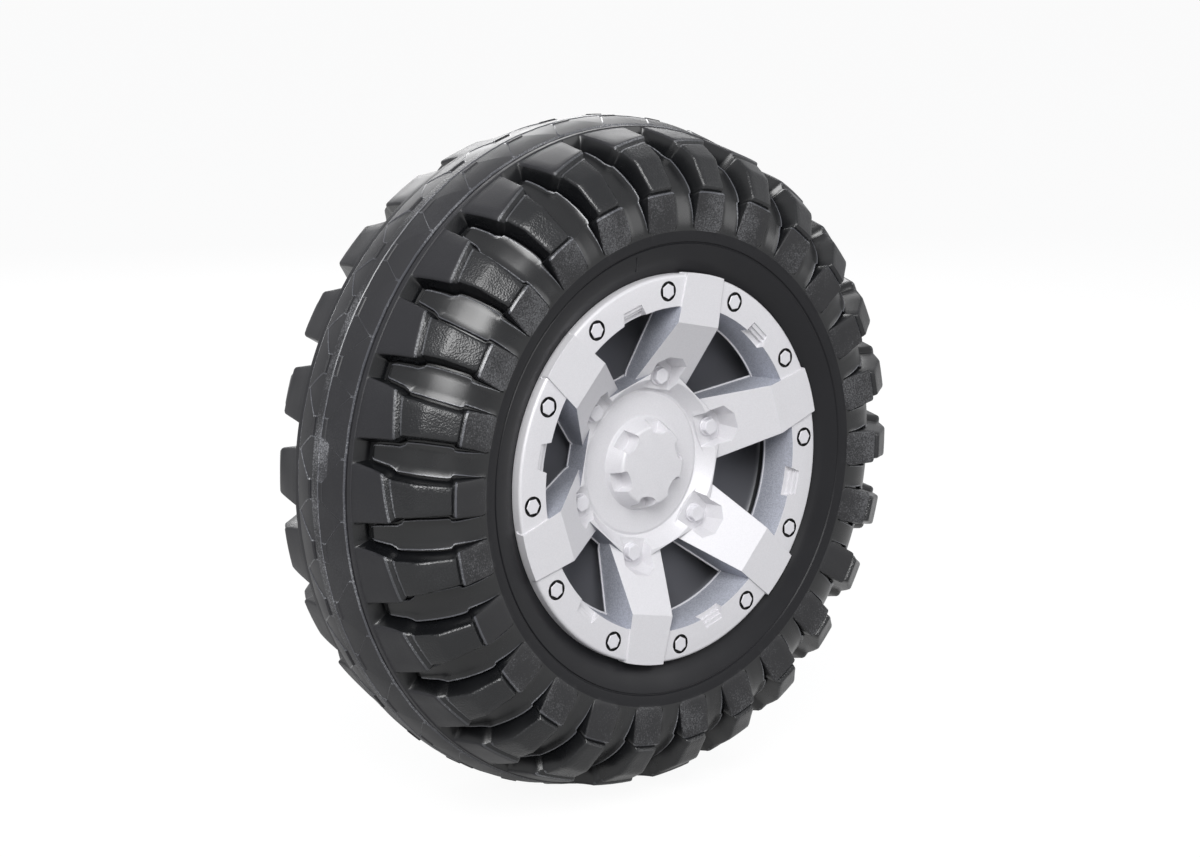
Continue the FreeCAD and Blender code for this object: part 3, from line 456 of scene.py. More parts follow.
# The mould's vent mark, of the same polyethylene: a small raised line on the tyre's outer side, where
# the mould lets its air out. Its ends are given by radius and place from the mid plane.
MARK_TURN = math.radians(346.6)
MARK_INNER_END, MARK_OUTER_END = (103.5, 59.3), (111.0, 62.1)
MARK_HALF, MARK_ROOT = 0.45, 1.0
bpy.ops.object.select_all(action="DESELECT")
bpy.ops.mesh.primitive_cube_add(size=1)
mark = bpy.context.object
mark.name = "side_mark"
for v in mark.data.vertices:
    radius, place = MARK_OUTER_END if v.co.z > 0 else MARK_INNER_END
    place += MARK_HALF if v.co.y < 0 else -MARK_ROOT
    v.co = (math.copysign(MARK_HALF, v.co.x) * MM, MIDDLE - place * MM, radius * MM)


def round_edges(piece, width, segments, limit=30):
    """Rounds the active piece's edges that turn by more than a limit in degrees; the width is in mm."""
    edge = piece.modifiers.new("edges", "BEVEL")
    edge.width = width * MM
    edge.segments = segments
    edge.limit_method = "ANGLE"
    edge.angle_limit = math.radians(limit)
    bpy.ops.object.modifier_apply(modifier=edge.name)


round_edges(mark, 0.2, 2)
shade_smooth(50)
mark.rotation_euler = (0, MARK_TURN, 0)
bpy.ops.object.transform_apply(rotation=True)
mark.data.materials.append(tyre.data.materials[SIDE_SKIN])
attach(mark, "wheel")
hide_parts("wheel_shell")


# Middle band of the tyre, of the same moulding: low plates with slanted sides, in phase on both
# halves, and the mould's parting ridge along the middle, rough where the flash was scraped off.
BAND_PLATES = 36
BAND_TOP = 172.4
BAND_FALL = 3.5
BAND_EDGE_PLACE = 19.0
BAND_WALL_PLACE = 19.12
BAND_EDGE_DROP, BAND_WALL_DROP = -0.45, -6.0
BAND_TURN = 3.1
PLATE_POINT, PLATE_END, TAB_END = 16.8, 6.0, 4.7
LEFT_LEAN, RIGHT_LEAN = 2.5, 4.1
PLATE_RISE, TAB_RISE, RIDGE_RISE = 0.4, 0.85, 0.35
LINE_HALF = 0.3
LINE_SHIFT = 0.09
RIDGE_HALF = 2.4
BAND_ROWS = [19.15, 19.1, 18.7, 18.0, PLATE_POINT, 14.1, 11.4, 8.7, PLATE_END + 0.2, PLATE_END - 0.2,
             TAB_END + 0.2, TAB_END - 0.2, 3.4, RIDGE_HALF + 0.2, RIDGE_HALF - 0.2, 1.2, 0.0]
plate_pitch = 360 / BAND_PLATES

band_rows = []
for y in BAND_ROWS:
    share = min(max((PLATE_POINT - y) / (PLATE_POINT - PLATE_END), 0), 1)
    left = LEFT_LEAN * share
    right = plate_pitch - RIGHT_LEAN * share
    line = math.degrees(LINE_HALF / BAND_TOP)
    radius = BAND_TOP - BAND_FALL * (y / BAND_EDGE_PLACE) ** 2
    plate = PLATE_RISE if y > PLATE_END else TAB_RISE if y > TAB_END else 0
    if y < RIDGE_HALF:
        plate = RIDGE_RISE
    outside = RIDGE_RISE if y < RIDGE_HALF else 0
    if y > BAND_EDGE_PLACE:
        plate = outside = BAND_EDGE_DROP
    if y > BAND_WALL_PLACE:
        plate = outside = BAND_WALL_DROP
    band_rows.append([(0, outside), (left - line + LINE_SHIFT, outside), (left + line + LINE_SHIFT, plate),
                      ((left + right) / 2, plate), (right - line - LINE_SHIFT, plate),
                      (right + line - LINE_SHIFT, outside), (plate_pitch, outside)])
    band_rows[-1] = [(angle, y, radius + rise) for angle, rise in band_rows[-1]]

columns = len(band_rows[0])
bpy.ops.mesh.primitive_grid_add(x_subdivisions=columns - 1, y_subdivisions=len(band_rows) - 1)
band = bpy.context.object
band.name = "tread_band"
for v in band.data.vertices:
    row, column = divmod(v.index, columns)
    angle, y, radius = band_rows[row][column]
    turn = math.radians(angle - BAND_TURN)
    v.co = (radius * MM * math.sin(turn), -y * MM, radius * MM * math.cos(turn))
BAND_SKIN, RIDGE_SKIN, LINE_HIGHLIGHT_SKIN, SCUFF_SKIN = range(4)
for face in band.data.polygons:
    row, column = divmod(face.index, columns - 1)
    y = BAND_ROWS[row]
    # The ridge's step and the lines round the plates get the painted highlight.
    if y == RIDGE_HALF + 0.2:
        face.material_index = LINE_HIGHLIGHT_SKIN
    elif y < RIDGE_HALF:
        face.material_index = RIDGE_SKIN
    elif y < BAND_WALL_PLACE and (column in (1, 4) or row == 1):
        face.material_index = LINE_HIGHLIGHT_SKIN
bpy.ops.object.mode_set(mode="EDIT")
spin_copies(BAND_PLATES)
weld(WELD_GAP)
both_sides(band)

# One plate has been scuffed where it rubbed on the ground.
SCUFFED_TURN = math.radians(276.6)
SCUFF_HALF_ANGLE = math.radians(3.2)
SCUFF_ENDS = 9
for face in band.data.polygons:
    away = abs((math.atan2(face.center.x, face.center.z) - SCUFFED_TURN + math.pi) % (2 * math.pi) - math.pi)
    place = (MIDDLE - face.center.y) / MM
    if (away < SCUFF_HALF_ANGLE and RIDGE_HALF + 0.2 < place < SCUFF_ENDS
            and face.material_index == BAND_SKIN):
        face.material_index = SCUFF_SKIN
shade_smooth(25)

# The band has the crown's dull blasted finish, a rough, pale ridge where the flash came off, and
# lines round its plates and on the ridge's step that carry a painted highlight with rubbed specks.
band.data.materials.append(polyethylene("polyethylene_band", "#242427", 0.45, 0.45, 0.5, 0.02, 0.06))
band.data.materials.append(polyethylene("polyethylene_scraped_ridge", "#242427", 0.4, 0.5, 0.9, 0.12, 0.9))
band.data.materials.append(tyre.data.materials[RIM_HIGHLIGHT_SKIN])
band.data.materials.append(polyethylene("polyethylene_scuffed_plate", "#38383B", 0.5, 0.4, 0.7, 0.06, 1.0))
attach(band, "wheel")
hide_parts("wheel_shell")


# Web and hub of the same moulding: a flat floor behind the hub cap, and on the inboard side a deep
# well with the hub that carries the bushes. It is pinched between the halves of the mould.
def rounded(points, steps=5):
    """An open outline of (place, radius, rounding) with its corners rounded."""
    line = [Vector(points[0][:2])]
    for before, corner, after in zip(points, points[1:], points[2:]):
        here = Vector(corner[:2])
        one = (Vector(before[:2]) - here).normalized()
        other = (Vector(after[:2]) - here).normalized()
        if corner[2] == 0:
            line.append(here)
            continue
        half = one.angle(other) / 2
        reach = corner[2] / math.tan(half)
        start, finish = here + one * reach, here + other * reach
        centre = here + (one + other).normalized() * (corner[2] / math.sin(half))
        for i in range(steps + 1):
            share = i / steps
            spoke = ((start - centre).lerp(finish - centre, share)).normalized()
            line.append(centre + spoke * corner[2])
    return line + [Vector(points[-1][:2])]


def select_only(piece, *others):
    """Makes a piece the active one and selects it alone, or with the others."""
    bpy.ops.object.select_all(action="DESELECT")
    for one in (piece, *others):
        one.select_set(True)
    bpy.context.view_layer.objects.active = piece


def turned(name, outline, steps=96, offset=0.0):
    """Spins an outline of (place, radius) in millimetres round the axle."""
    mesh = bpy.data.meshes.new(name)
    mesh.from_pydata([(0, offset + p[0] * MM, p[1] * MM) for p in outline],
                     [(i, i + 1) for i in range(len(outline) - 1)], [])
    piece = bpy.data.objects.new(name, mesh)
    bpy.context.collection.objects.link(piece)
    select_only(piece)
    bpy.ops.object.mode_set(mode="EDIT")
    bpy.ops.mesh.select_all(action="SELECT")
    bpy.ops.mesh.spin(steps=steps, angle=2 * math.pi, center=(0, 0, 0), axis=(0, 1, 0))
    weld(0.01 * MM)
    shade_smooth(38)
    return piece


# Its outline, from the tyre's outer seat round to its inboard one: place, radius and rounding.
WINDOW_FLOOR = 25.2
WELL_RADIUS, HUB_BORE, HUB_END = 92.2, 9.0, 56.0
SEAT_FACE = SIDE[-1][0]
web = turned("web_and_hub", rounded([
    (-SEAT_FACE, WELL_RADIUS, 0), (-WINDOW_FLOOR, WELL_RADIUS, 3), (-WINDOW_FLOOR, HUB_BORE, 0),
    (HUB_END, HUB_BORE, 1.0), (HUB_END, 36.0, 2.5), (14.0, 37.5, 4), (14.0, 90.0, 4),
    (SEAT_FACE, WELL_RADIUS, 0)]), offset=MIDDLE)

# The web is dull from the blasted mould. Its floor lies deep in the cap's shade and is painted paler, as
# painted light, so that it shows through the windows as light as the real one does.
web.data.materials.append(polyethylene("polyethylene_web", "#232426", 0.45, 0.4, 0.6, 0.02))
web.data.materials.append(polyethylene("polyethylene_window_floor_painted_light", "#707177", 0.4, 0.6, 0.6, 0.02))
LIT_FLOOR_SKIN = 1
for face in web.data.polygons:
    if abs(face.center.y - MIDDLE + WINDOW_FLOOR * MM) < MM:
        face.material_index = LIT_FLOOR_SKIN
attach(web, "wheel")
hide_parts("wheel_shell")


# Hub cap: one injection moulding of silver metallic ABS, snapped into the tyre's seat. Six drafted
# spokes run down from a flat ring to the hub, and each window wall ends in a thin lip at the back.
SPOKE_COUNT = 6
SPOKE_TURN = math.radians(11.6)
SPOKE_RISE = 0.9
CAP_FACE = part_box("hub_cap")[0][1] + SPOKE_RISE * MM
CAP_RADIUS = 97.8
RIM_DEPTH = 5.9
RING_INNER = 81.9
WALL_LIP = 0.8
LIP_THICK = 0.7

# The window walls end on a cone: its depth at the ring, how much deeper it gets towards the axle.
WALL_DEPTH, WALL_REACH = 17.3, 78.0
WALL_SLOPE = 0.336


def back_depth(reach):
    """Depth of the window walls' back edge under the ring's face, at a distance from the axle."""
    return WALL_DEPTH + (WALL_REACH - reach) * WALL_SLOPE


def lofted(name, sections):
    """Skins closed sections of (x, depth, z) in millimetres one after the other and closes both ends."""
    around = len(sections[0])
    bpy.ops.object.select_all(action="DESELECT")
    bpy.ops.mesh.primitive_grid_add(x_subdivisions=around, y_subdivisions=len(sections) - 1)
    piece = bpy.context.object
    piece.name = name
    for v in piece.data.vertices:
        row, column = divmod(v.index, around + 1)
        x, depth, z = sections[row][column % around]
        v.co = (x * MM, CAP_FACE + depth * MM, z * MM)
    bpy.ops.object.mode_set(mode="EDIT")
    weld(0.005 * MM, close=True)
    return piece


def round_the_axle(piece, count, first_turn=0.0):
    """Copies a piece's mesh evenly round the axle, the first one turned clockwise from upright."""
    piece.rotation_euler = (0, first_turn, 0)
    select_only(piece)
    bpy.ops.object.transform_apply(rotation=True)
    bpy.ops.object.mode_set(mode="EDIT")
    spin_copies(count)
    bpy.ops.mesh.select_all(action="SELECT")
    bpy.ops.mesh.normals_make_consistent(inside=False)
    bpy.ops.object.mode_set(mode="OBJECT")
    return piece


def combine(piece, tool, operation):
    """Joins a solid to a piece, or takes it away."""
    change = piece.modifiers.new(operation.lower(), "BOOLEAN")
    change.operation = operation
    change.solver = "EXACT"
    change.use_self = operation == "UNION"
    change.object = tool
    select_only(piece)
    bpy.ops.object.modifier_apply(modifier=change.name)
    bpy.data.objects.remove(tool)


# A spoke runs flat from the rim in to a crease, then slopes down to its foot at the hub.
SPOKE_HALF = 13.5
NARROWEST = 72.9
OUTWARD_TAPER, INWARD_TAPER = -0.05, 0.115
SPOKE_DRAFT = 0.075
SPOKE_END, CREASE, SPOKE_FOOT, SPOKE_ROOT = 99.5, 73.0, 45.6, 38.0
END_BACK, FOOT_DEPTH = 4.5, 17.6
slope = (FOOT_DEPTH + SPOKE_RISE) / (CREASE - SPOKE_FOOT)


def spoke_half(reach):
    """Half of a spoke's width at a distance from the axle."""
    if reach > NARROWEST:
        return SPOKE_HALF + (reach - NARROWEST) * OUTWARD_TAPER
    return SPOKE_HALF + (NARROWEST - reach) * INWARD_TAPER


def spoke_section(reach, front, back):
    """A spoke's section: its front, drafted sides, and the lip at their back."""
    half = spoke_half(reach)
    lean = (back - front) * SPOKE_DRAFT
    right = [(half, front), (half + lean, back - LIP_THICK), (half + lean + WALL_LIP, back - LIP_THICK),
             (half + lean + WALL_LIP, back)]
    return [(x, depth, reach) for x, depth in right] + [(-x, depth, reach) for x, depth in right[::-1]]


spokes = lofted("spokes", [
    spoke_section(SPOKE_END, -SPOKE_RISE, END_BACK),
    spoke_section(80.5, -SPOKE_RISE, END_BACK),
    spoke_section(80.4, -SPOKE_RISE, back_depth(80.4)),
    spoke_section(CREASE, -SPOKE_RISE, back_depth(CREASE)),
    spoke_section(SPOKE_FOOT, FOOT_DEPTH, back_depth(47.5)),
    spoke_section(SPOKE_ROOT, FOOT_DEPTH + (SPOKE_FOOT - SPOKE_ROOT) * slope, back_depth(47.0))])
round_the_axle(spokes, SPOKE_COUNT, SPOKE_TURN)
SPOKE_REACH = CAP_RADIUS + 0.6
rim = turned("rim", [(-4.0, 0.0), (-4.0, SPOKE_REACH), (36.0, SPOKE_REACH), (36.0, 0.0)],
             steps=144, offset=CAP_FACE)
combine(spokes, rim, "INTERSECT")

# The ring, as an outline of (depth, distance from the axle, rounding) spun round the axle.
LIP_FRONT = WALL_DEPTH - LIP_THICK
LIP_REACH = 78.1 - WALL_LIP
hub_cap = turned("hub_cap", rounded([
    (0.0, 88.0, 0), (0.0, CAP_RADIUS, 1.6), (RIM_DEPTH, CAP_RADIUS, 0), (RIM_DEPTH, 91.0, 0),
    (WALL_DEPTH, 84.0, 0), (WALL_DEPTH, LIP_REACH, 0), (LIP_FRONT, LIP_REACH, 0), (LIP_FRONT, 78.2, 0),
    (0.0, RING_INNER, 0), (0.0, 88.0, 0)]), steps=144, offset=CAP_FACE)

# The hub: a boss with a raised rim on a flat disc, a cove round the disc, and six flats outside.
HUB_BACK = 28.2
hub = turned("hub", rounded([
    (15.7, 0.0, 0), (15.7, 20.0, 1.8), (25.2, 23.9, 0.5), (25.2, 35.8, 1.5), (26.2, 37.3, 0.8),
    (17.6, 43.4, 0.8), (17.6, 53.0, 0), (HUB_BACK, 53.0, 0), (HUB_BACK, 21.5, 0), (26.0, 20.0, 0),
    (26.0, 13.0, 0), (18.2, 13.0, 0), (18.2, 0.0, 0)]), steps=96, offset=CAP_FACE)


def hexagon_section(apothem, depth):
    """A hexagon round the axle, from the distance of its flats."""
    corner = apothem / math.cos(math.pi / 6)
    return [(corner * math.sin(math.radians(60 * i)), depth, corner * math.cos(math.radians(60 * i)))
            for i in range(6)]


flats = lofted("flats", [
    hexagon_section(42.0, 10.0), hexagon_section(44.0, 17.6), hexagon_section(45.7, HUB_BACK - LIP_THICK),
    hexagon_section(45.7 + WALL_LIP, HUB_BACK - LIP_THICK), hexagon_section(45.7 + WALL_LIP, HUB_BACK + 2)])
round_the_axle(flats, 1, SPOKE_TURN)
combine(hub, flats, "INTERSECT")
combine(hub_cap, spokes, "UNION")
combine(hub_cap, hub, "UNION")


def pocket_section(depth, shrink):
    """The pocket round a lug bolt in a spoke that points up, open to the cove, its outer corners cut."""
    half, high = 10.0 - shrink, 54.8 - shrink
    return [(x, depth, z) for x, z in (
        (-half, 36.0), (half, 36.0), (half, high - 3.4), (half - 5.9, high), (5.9 - half, high),
        (-half, high - 3.4))]


POCKET_FLOOR = 23.5
pockets = lofted("lug_pockets", [pocket_section(6.0, -0.9), pocket_section(POCKET_FLOOR, 1.3)])
round_the_axle(pockets, SPOKE_COUNT, SPOKE_TURN)
combine(hub_cap, pockets, "DIFFERENCE")

# In the middle of each window three small steps lead down the inner edge of the ring.
STAIRS = [(-2.0, 76.0), (-2.0, 87.4), (0.9, 87.4), (0.9, 85.4), (2.2, 85.4), (2.2, 83.7), (4.0, 83.7),
          (4.0, 76.0)]
stairs = lofted("ring_steps", [
    [(side * (5.9 + (87.4 - reach) * 0.25), depth, reach) for depth, reach in STAIRS] for side in (-1, 1)])
round_the_axle(stairs, SPOKE_COUNT, SPOKE_TURN + math.pi / SPOKE_COUNT)
combine(hub_cap, stairs, "DIFFERENCE")

BOLT_CIRCLE = 90.0
BOLT_SPREAD = math.radians(14.56)
BOLT_POCKET = 5.0
BOLT_POCKET_DEPTH = 1.6


def peg(name, corners, radius, back, front, reach):
    """A straight peg from one depth out to another, upright over the axle at a distance from it."""
    bpy.ops.mesh.primitive_cylinder_add(
        vertices=corners, radius=radius * MM, depth=(back - front) * MM,
        location=(0, CAP_FACE + (back + front) / 2 * MM, reach * MM), rotation=(math.pi / 2, 0, 0))
    bpy.context.object.name = name
    bpy.ops.object.transform_apply(location=True, rotation=True)
    return bpy.context.object


for side in (-1, 1):
    bolt_pocket = peg("bolt_pockets", 32, BOLT_POCKET, BOLT_POCKET_DEPTH, -3, BOLT_CIRCLE)
    round_the_axle(bolt_pocket, SPOKE_COUNT, SPOKE_TURN + side * BOLT_SPREAD)
    combine(hub_cap, bolt_pocket, "DIFFERENCE")

# Six notches in the boss's flank, open outwards, their inner walls hollow arcs.
NOTCH_HALF, NOTCH_REACH, NOTCH_CORNER, NOTCH_FLOOR = 5.3, 15.9, 18.3, 22.9
NOTCH_OPEN = 28.0
NOTCH_STEPS = 12
NOTCH_FULLNESS = 0.8
notch = [(-NOTCH_HALF, NOTCH_OPEN)]
for i in range(NOTCH_STEPS + 1):
    angle = math.pi * i / NOTCH_STEPS
    hollow = (NOTCH_CORNER - NOTCH_REACH) * math.sin(angle) ** NOTCH_FULLNESS
    notch.append((-NOTCH_HALF * math.cos(angle), NOTCH_CORNER - hollow))
notch.append((NOTCH_HALF, NOTCH_OPEN))
notches = lofted("boss_notches", [[(x * share, depth, z) for x, z in notch]
                                  for depth, share in ((12.0, 1.04), (NOTCH_FLOOR, 0.94))])
round_the_axle(notches, SPOKE_COUNT, SPOKE_TURN)
combine(hub_cap, notches, "DIFFERENCE")

bpy.ops.object.mode_set(mode="EDIT")
weld(0.06 * MM)
shade_smooth(28)


def silver_abs(name, tone, roughness, sparkle, deep_wall_shade=1.0):
    """Grey ABS with aluminium flake moulded in: a sparkle drawn coarser than the real flake, a haze where
    it flowed, slight orange peel and soft edges. From 3 to 18 mm behind the cap's face the colour darkens to
    the share deep_wall_shade, as painted shade."""
    material = new_material(name)
    place = node(material, "ShaderNodeTexCoord")
    flakes = node(material, "ShaderNodeTexVoronoi", [("Vector", place, "Object")], Scale=1 / (0.5 * MM))
    grey = node(material, "ShaderNodeSeparateColor", [("Color", flakes, "Color")])
    shade = node(material, "ShaderNodeMapRange", [("Value", grey, 0)], To_Min=1 - sparkle, To_Max=1.0)
    parts = node(material, "ShaderNodeSeparateXYZ", [("Vector", place, "Object")])
    depth_shade = node(material, "ShaderNodeMapRange", [("Value", parts, "Y")],
                From_Min=CAP_FACE + 3 * MM, From_Max=CAP_FACE + 18 * MM, To_Min=1.0, To_Max=deep_wall_shade)
    share = node(material, "ShaderNodeMath", [(0, shade, 0), (1, depth_shade, 0)], operation="MULTIPLY")
    tint = node(material, "ShaderNodeMix", [("Factor", share, 0)], data_type="RGBA")
    tint.inputs["A"].default_value = colour("#000000")
    tint.inputs["B"].default_value = colour(tone)
    haze = node(material, "ShaderNodeTexNoise", [("Vector", place, "Object")],
                Scale=1 / (18 * MM), Detail=3.0)
    gloss = node(material, "ShaderNodeMapRange", [("Value", haze, 0)],
                 From_Min=0.3, From_Max=0.7, To_Min=roughness - 0.04, To_Max=roughness + 0.04)
    corners = node(material, "ShaderNodeBevel", samples=5, Radius=0.35 * MM)
    peel = node(material, "ShaderNodeTexNoise", [("Vector", place, "Object")],
                Scale=1 / (0.8 * MM), Detail=2.0)
    bump = node(material, "ShaderNodeBump", [("Height", peel, 0), ("Normal", corners, 0)],
                Strength=0.3, Distance=0.03 * MM)
    skin = node(material, "ShaderNodeBsdfPrincipled",
                [("Base Color", tint, "Result"), ("Roughness", gloss, 0), ("Normal", bump, 0)],
                Metallic=0.2)
    node(material, "ShaderNodeOutputMaterial", [("Surface", skin, 0)])
    return material


# Near-black in the bolt pockets is painted shade for the deep gap round each ring bolt, and gives each
# its dark outline. The window walls are given a darker, bluish silver as painted shade, and sparkle more.
pocket_shade = new_material("painted_shade_in_bolt_pockets")
shade_film = node(pocket_shade, "ShaderNodeBsdfPrincipled", Base_Color=colour("#141416"), Roughness=0.6)
node(pocket_shade, "ShaderNodeOutputMaterial", [("Surface", shade_film, 0)])
hub_cap.data.materials.append(silver_abs("silver_abs_cap", "#DAD9DC", 0.5, 0.05))
hub_cap.data.materials.append(pocket_shade)
hub_cap.data.materials.append(silver_abs("silver_abs_window_walls_painted_shade", "#B9BCC7", 0.5, 0.28, 0.6))
CAP_SKIN, SHADE_SKIN, SHADED_WALL_SKIN = range(3)

# A wall, which takes the painted shade, is a steep face between the hub's flats and the ring's inner
# edge, outside the lug pockets.
WALL_NORMAL = 0.45
WALL_STARTS, WALL_ENDS, FRONT_SKIN = 39, 82.5, 0.3
POCKET_HALF, POCKET_END = 11.6, 57
bolt_turns = [SPOKE_TURN + 2 * math.pi * i / SPOKE_COUNT + side * BOLT_SPREAD
              for i in range(SPOKE_COUNT) for side in (-1, 1)]
bolt_axes = [Vector((math.sin(turn), math.cos(turn))) * BOLT_CIRCLE for turn in bolt_turns]


def cap_skin(face):
    """The skin of one of the hub cap's faces."""
    flat = Vector((face.center.x, face.center.z)) / MM
    depth = (face.center.y - CAP_FACE) / MM
    turn = (math.atan2(flat.x, flat.y) - SPOKE_TURN + math.pi / 6) % (math.pi / 3) - math.pi / 6
    across, along = abs(flat.length * math.sin(turn)), flat.length * math.cos(turn)
    in_pocket = across < POCKET_HALF and along < POCKET_END
    if (abs(face.normal.y) < WALL_NORMAL and WALL_STARTS < flat.length < WALL_ENDS
            and depth > FRONT_SKIN and not in_pocket):
        return SHADED_WALL_SKIN
    # The bolt pockets take the near-black painted shade.
    if FRONT_SKIN < depth < BOLT_POCKET_DEPTH + 0.1:
        if min((flat - axis).length for axis in bolt_axes) < BOLT_POCKET + 0.1:
            return SHADE_SKIN
    return CAP_SKIN


for face in hub_cap.data.polygons:
    face.material_index = cap_skin(face)
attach(hub_cap, "wheel")
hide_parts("hub_cap")


# Ring bolts: twelve hexagon heads for looks only, moulded in a brighter batch of the cap's silver ABS
# and pressed into its pockets.
def bolt_head(name, flats, back, front, reach, rounding):
    """A hexagon head from one depth out to another."""
    head = peg(name, 6, flats / math.sqrt(3), back, front, reach)
    round_edges(head, rounding, 2)
    shade_smooth(20)
    return head


def join(piece, other):
    """Joins another mesh into a piece."""
    select_only(piece, other)
    bpy.ops.object.join()


RING_BOLT_FLATS, RING_BOLT_RISE = 6.8, 0.3
halves = []
for side in (-1, 1):
    head = bolt_head("ring_bolts", RING_BOLT_FLATS, BOLT_POCKET_DEPTH, -RING_BOLT_RISE, BOLT_CIRCLE, 0.25)
    halves.append(round_the_axle(head, SPOKE_COUNT, SPOKE_TURN + side * BOLT_SPREAD))
ring_bolts = halves[0]
join(*halves)
bright_abs = silver_abs("silver_abs_bolts", "#DEDDE1", 0.35, 0.05)
ring_bolts.data.materials.append(bright_abs)
ring_bolts.data.materials.append(pocket_shade)
# The heads' sides, down in the pockets, take the near-black painted shade.
for face in ring_bolts.data.polygons:
    if abs(face.normal.y) < 0.3 and face.center.y > CAP_FACE:
        face.material_index = SHADE_SKIN
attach(ring_bolts, "wheel")
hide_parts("ring_bolts")


# Lug bolts: six larger heads with a round flange, of the same bright ABS, pressed into the floors of
# their pockets in the spokes.
LUG_BOLT_CIRCLE = 45.0
LUG_BOLT_FLATS = 7.6
FLANGE_RADIUS, FLANGE_THICK = 5.0, 1.2
lug_bolts = bolt_head("lug_bolts", LUG_BOLT_FLATS, POCKET_FLOOR - 1, POCKET_FLOOR - 4, LUG_BOLT_CIRCLE, 0.35)
flange = peg("flange", 40, FLANGE_RADIUS, POCKET_FLOOR, POCKET_FLOOR - FLANGE_THICK, LUG_BOLT_CIRCLE)
round_edges(flange, 0.35, 3, limit=40)
shade_smooth(35)
join(lug_bolts, flange)
round_the_axle(lug_bolts, SPOKE_COUNT, SPOKE_TURN)
lug_bolts.data.materials.append(bright_abs)
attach(lug_bolts, "wheel")
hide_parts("lug_bolts")


# Ribs of the tyre's own moulding in the inboard well: six plain webs from the hub out to the tyre,
# drafted towards their tops.
RIB_COUNT = 6
RIB_HALF_ROOT, RIB_HALF_TOP = 2.6, 2.0
RIB_FOOT, RIB_TOP = 13.0, 34.0
RIB_STARTS, RIB_ENDS = 34.0, 91.0
bpy.ops.mesh.primitive_cube_add(size=1)
ribs = bpy.context.object
ribs.name = "ribs"
for v in ribs.data.vertices:
    half, place = (RIB_HALF_TOP, RIB_TOP) if v.co.y > 0 else (RIB_HALF_ROOT, RIB_FOOT)
    reach = RIB_ENDS if v.co.z > 0 else RIB_STARTS
    v.co = (math.copysign(half, v.co.x) * MM, place * MM, reach * MM)
round_edges(ribs, 0.8, 3)
shade_smooth(35)
ribs.location = (0, MIDDLE, 0)
bpy.ops.object.transform_apply(location=True)
round_the_axle(ribs, RIB_COUNT)
ribs.data.materials.append(web.data.materials[0])
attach(ribs, "wheel")
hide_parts("wheel_shell")


# Bushes: two black nylon mouldings with a flange, pressed into the ends of the hub, in which the axle
# turns.
def nylon(name, tone, roughness):
    """Injection-moulded nylon, IOR 1.53: satin to the eye, with faint flow marks and no grain."""
    material = new_material(name)
    place = node(material, "ShaderNodeTexCoord")
    haze = node(material, "ShaderNodeTexNoise", [("Vector", place, "Object")],
                Scale=1 / (9 * MM), Detail=4.0)
    gloss = node(material, "ShaderNodeMapRange", [("Value", haze, 0)],
                 From_Min=0.3, From_Max=0.7, To_Min=roughness - 0.07, To_Max=roughness + 0.07)
    bump = node(material, "ShaderNodeBump", [("Height", haze, 0)], Strength=0.2, Distance=0.15 * MM)
    skin = node(material, "ShaderNodeBsdfPrincipled", [("Roughness", gloss, 0), ("Normal", bump, 0)],
                Base_Color=colour(tone), IOR=1.53)
    node(material, "ShaderNodeOutputMaterial", [("Surface", skin, 0)])
    return material


black_nylon = nylon("black_nylon_bush", "#26262A", 0.38)
BUSH_BORE, BUSH_FLANGE_RADIUS = 6.05, 14.0
BUSH_FLANGE, BUSH_END = 1.5, 26.5
BUSH = [(4.0, BUSH_BORE, 0), (0.0, BUSH_BORE, 0.4), (0.0, BUSH_FLANGE_RADIUS, 0.5),
        (BUSH_FLANGE, BUSH_FLANGE_RADIUS, 0.3), (BUSH_FLANGE, HUB_BORE, 0), (BUSH_END, HUB_BORE, 0.6),
        (BUSH_END, BUSH_BORE, 0.3), (4.0, BUSH_BORE, 0)]
for name, face, inwards in (("outer_bush", 0, 1), ("inner_bush", 1, -1)):
    outline = [(inwards * place, *rest) for place, *rest in BUSH]
    bush = turned(name, rounded(outline), steps=64, offset=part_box(name)[face][1])
    bush.data.materials.append(black_nylon)
    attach(bush, "wheel")
    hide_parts(name)


# Axle: a mild steel rod, turned, grooved for the clip, chamfered at both ends and plated with bright
# zinc. The vehicle holds its bare end, so it stays still.
TARNISH_TONE = "#8C8672"


def plated(name, tone, roughness, turned_marks, tarnish):
    """Plated mild steel, a metal: fine turning marks break up its glints, and a yellowish haze dulls it
    where it was handled."""
    material = new_material(name)
    place = node(material, "ShaderNodeTexCoord")
    marks = node(material, "ShaderNodeTexNoise", [("Vector", place, "Object")],
                 Scale=1 / (0.35 * MM), Detail=2.0)
    haze = node(material, "ShaderNodeTexNoise", [("Vector", place, "Object")],
                Scale=1 / (8 * MM), Detail=5.0, Roughness=0.6)
    gloss = node(material, "ShaderNodeMapRange", [("Value", haze, 0)],
                 From_Min=0.3, From_Max=0.7, To_Min=roughness, To_Max=roughness + 0.2)
    dull = node(material, "ShaderNodeMapRange", [("Value", haze, 0)],
                From_Min=0.45, From_Max=0.75, To_Min=0.0, To_Max=tarnish)
    tint = node(material, "ShaderNodeMix", [("Factor", dull, 0)], data_type="RGBA")
    tint.inputs["A"].default_value = colour(tone)
    tint.inputs["B"].default_value = colour(TARNISH_TONE)
    bump = node(material, "ShaderNodeBump", [("Height", marks, 0)],
                Strength=turned_marks, Distance=0.02 * MM)
    skin = node(material, "ShaderNodeBsdfPrincipled",
                [("Base Color", tint, "Result"), ("Roughness", gloss, 0), ("Normal", bump, 0)], Metallic=1.0)
    node(material, "ShaderNodeOutputMaterial", [("Surface", skin, 0)])
    return material


